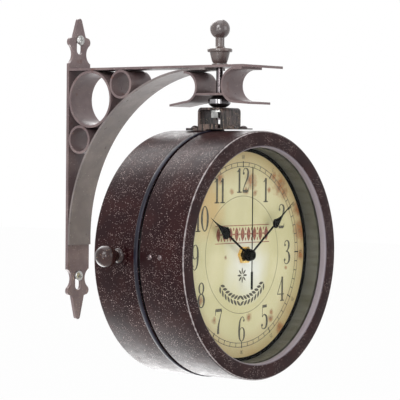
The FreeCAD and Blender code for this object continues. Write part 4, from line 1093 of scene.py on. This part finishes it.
def camera():
    data = bpy.data.cameras.new("camera")
    data.lens = LENS
    data.sensor_width = SENSOR
    data.clip_end = 50
    view = new_object("camera", data)
    level = math.cos(CAMERA_ELEVATION)
    back = Vector((math.sin(CAMERA_AZIMUTH) * level, -math.cos(CAMERA_AZIMUTH) * level,
                   math.sin(CAMERA_ELEVATION)))
    right = (-back).cross(Vector((0, 0, 1))).normalized()
    up = right.cross(-back)
    turned_right = right * math.cos(CAMERA_ROLL) + up * math.sin(CAMERA_ROLL)
    turned_up = up * math.cos(CAMERA_ROLL) - right * math.sin(CAMERA_ROLL)
    turn = Matrix((turned_right, turned_up, back)).transposed()
    view.matrix_world = Matrix.Translation(drum_centre + CAMERA_PLACE) @ turn.to_4x4()
    bpy.context.scene.camera = view


def stage():
    """A wide pale floor that is white to the camera and still takes the shadow."""
    half, height = 12.0, -0.75
    vertices = [(-half, -half, height), (half, -half, height), (half, half, height), (-half, half, height)]
    floor = new_piece("floor", vertices, [[0, 1, 2, 3]])
    paint = Paint("floor_paint", roughness=0.9)
    paint.colour(linear(240, 240, 240))
    white = paint.tree.nodes.new("ShaderNodeEmission")
    white.inputs["Color"].default_value = (1, 1, 1, 1)
    share = paint.maths("MULTIPLY", background_rays(paint.tree), FLOOR_WHITE)
    paint.give_way(share, white.outputs["Emission"])
    floor.data.materials.append(paint.material)


def background_rays(tree):
    """1 for the rays that meet the white background: from the camera, mirrored, or through glass."""
    path = tree.nodes.new("ShaderNodeLightPath")
    rays = path.outputs["Is Camera Ray"]
    for kind in ("Is Glossy Ray", "Is Transmission Ray"):
        either = tree.nodes.new("ShaderNodeMath")
        either.operation = "MAXIMUM"
        tree.links.new(rays, either.inputs[0])
        tree.links.new(path.outputs[kind], either.inputs[1])
        rays = either.outputs["Value"]
    return rays


def world():
    """A white studio that lights the object at a lower, soft level."""
    made = bpy.data.worlds.new("studio")
    bpy.context.scene.world = made
    made.use_nodes = True
    tree = made.node_tree
    level = tree.nodes.new("ShaderNodeMix")
    tree.links.new(background_rays(tree), level.inputs["Factor"])
    level.inputs["A"].default_value = SOFT_LEVEL
    level.inputs["B"].default_value = 1.0
    background = tree.nodes["Background"]
    background.inputs["Color"].default_value = (1, 1, 1, 1)
    tree.links.new(level.outputs["Result"], background.inputs["Strength"])


def lamp(name, direction, distance, size, power):
    """A soft box that looks at the drum from a direction, and that the camera doesn't see."""
    data = bpy.data.lights.new(name, "AREA")
    data.shape = "RECTANGLE"
    data.size, data.size_y = size
    data.energy = power
    light = new_object(name, data)
    away = Vector(direction).normalized()
    light.location = drum_centre + away * distance
    light.rotation_mode = "QUATERNION"
    light.rotation_quaternion = away.to_track_quat("Z", "Y")
    light.visible_camera = False


# -------- the whole scene

materials = all_materials()
dress(materials)
for side in SIDES:
    drum_shell(side, materials["case_paint"])
    ring_lip(side, materials["hand_black"])
seam_bead(bead_paint())
grey = print_ink("grey_ink", linear(92, 86, 68), linear(66, 62, 52))
black = print_ink("black_ink", linear(40, 38, 34), linear(20, 19, 18))
red = print_ink("red_ink", linear(168, 110, 84), linear(122, 62, 52))
for side in SIDES:
    dial_print(side, grey, black)
    dial_ornament(side, red, grey)
finial(materials["finial_bronze"])
collar(materials["black_enamel"])
knob(materials["knob_bronze"])
saddle_screws(materials["yoke_paint"])
keeper_rivets(materials["rivet_bronze"])
for side in SIDES:
    hinge_rivets(side, materials["rivet_bronze"])
wall_screws(materials["zinc"])
stage()
world()
for name, settings in LAMPS.items():
    lamp(name, *settings)
camera()

bpy.context.scene.view_settings.view_transform = "Standard"
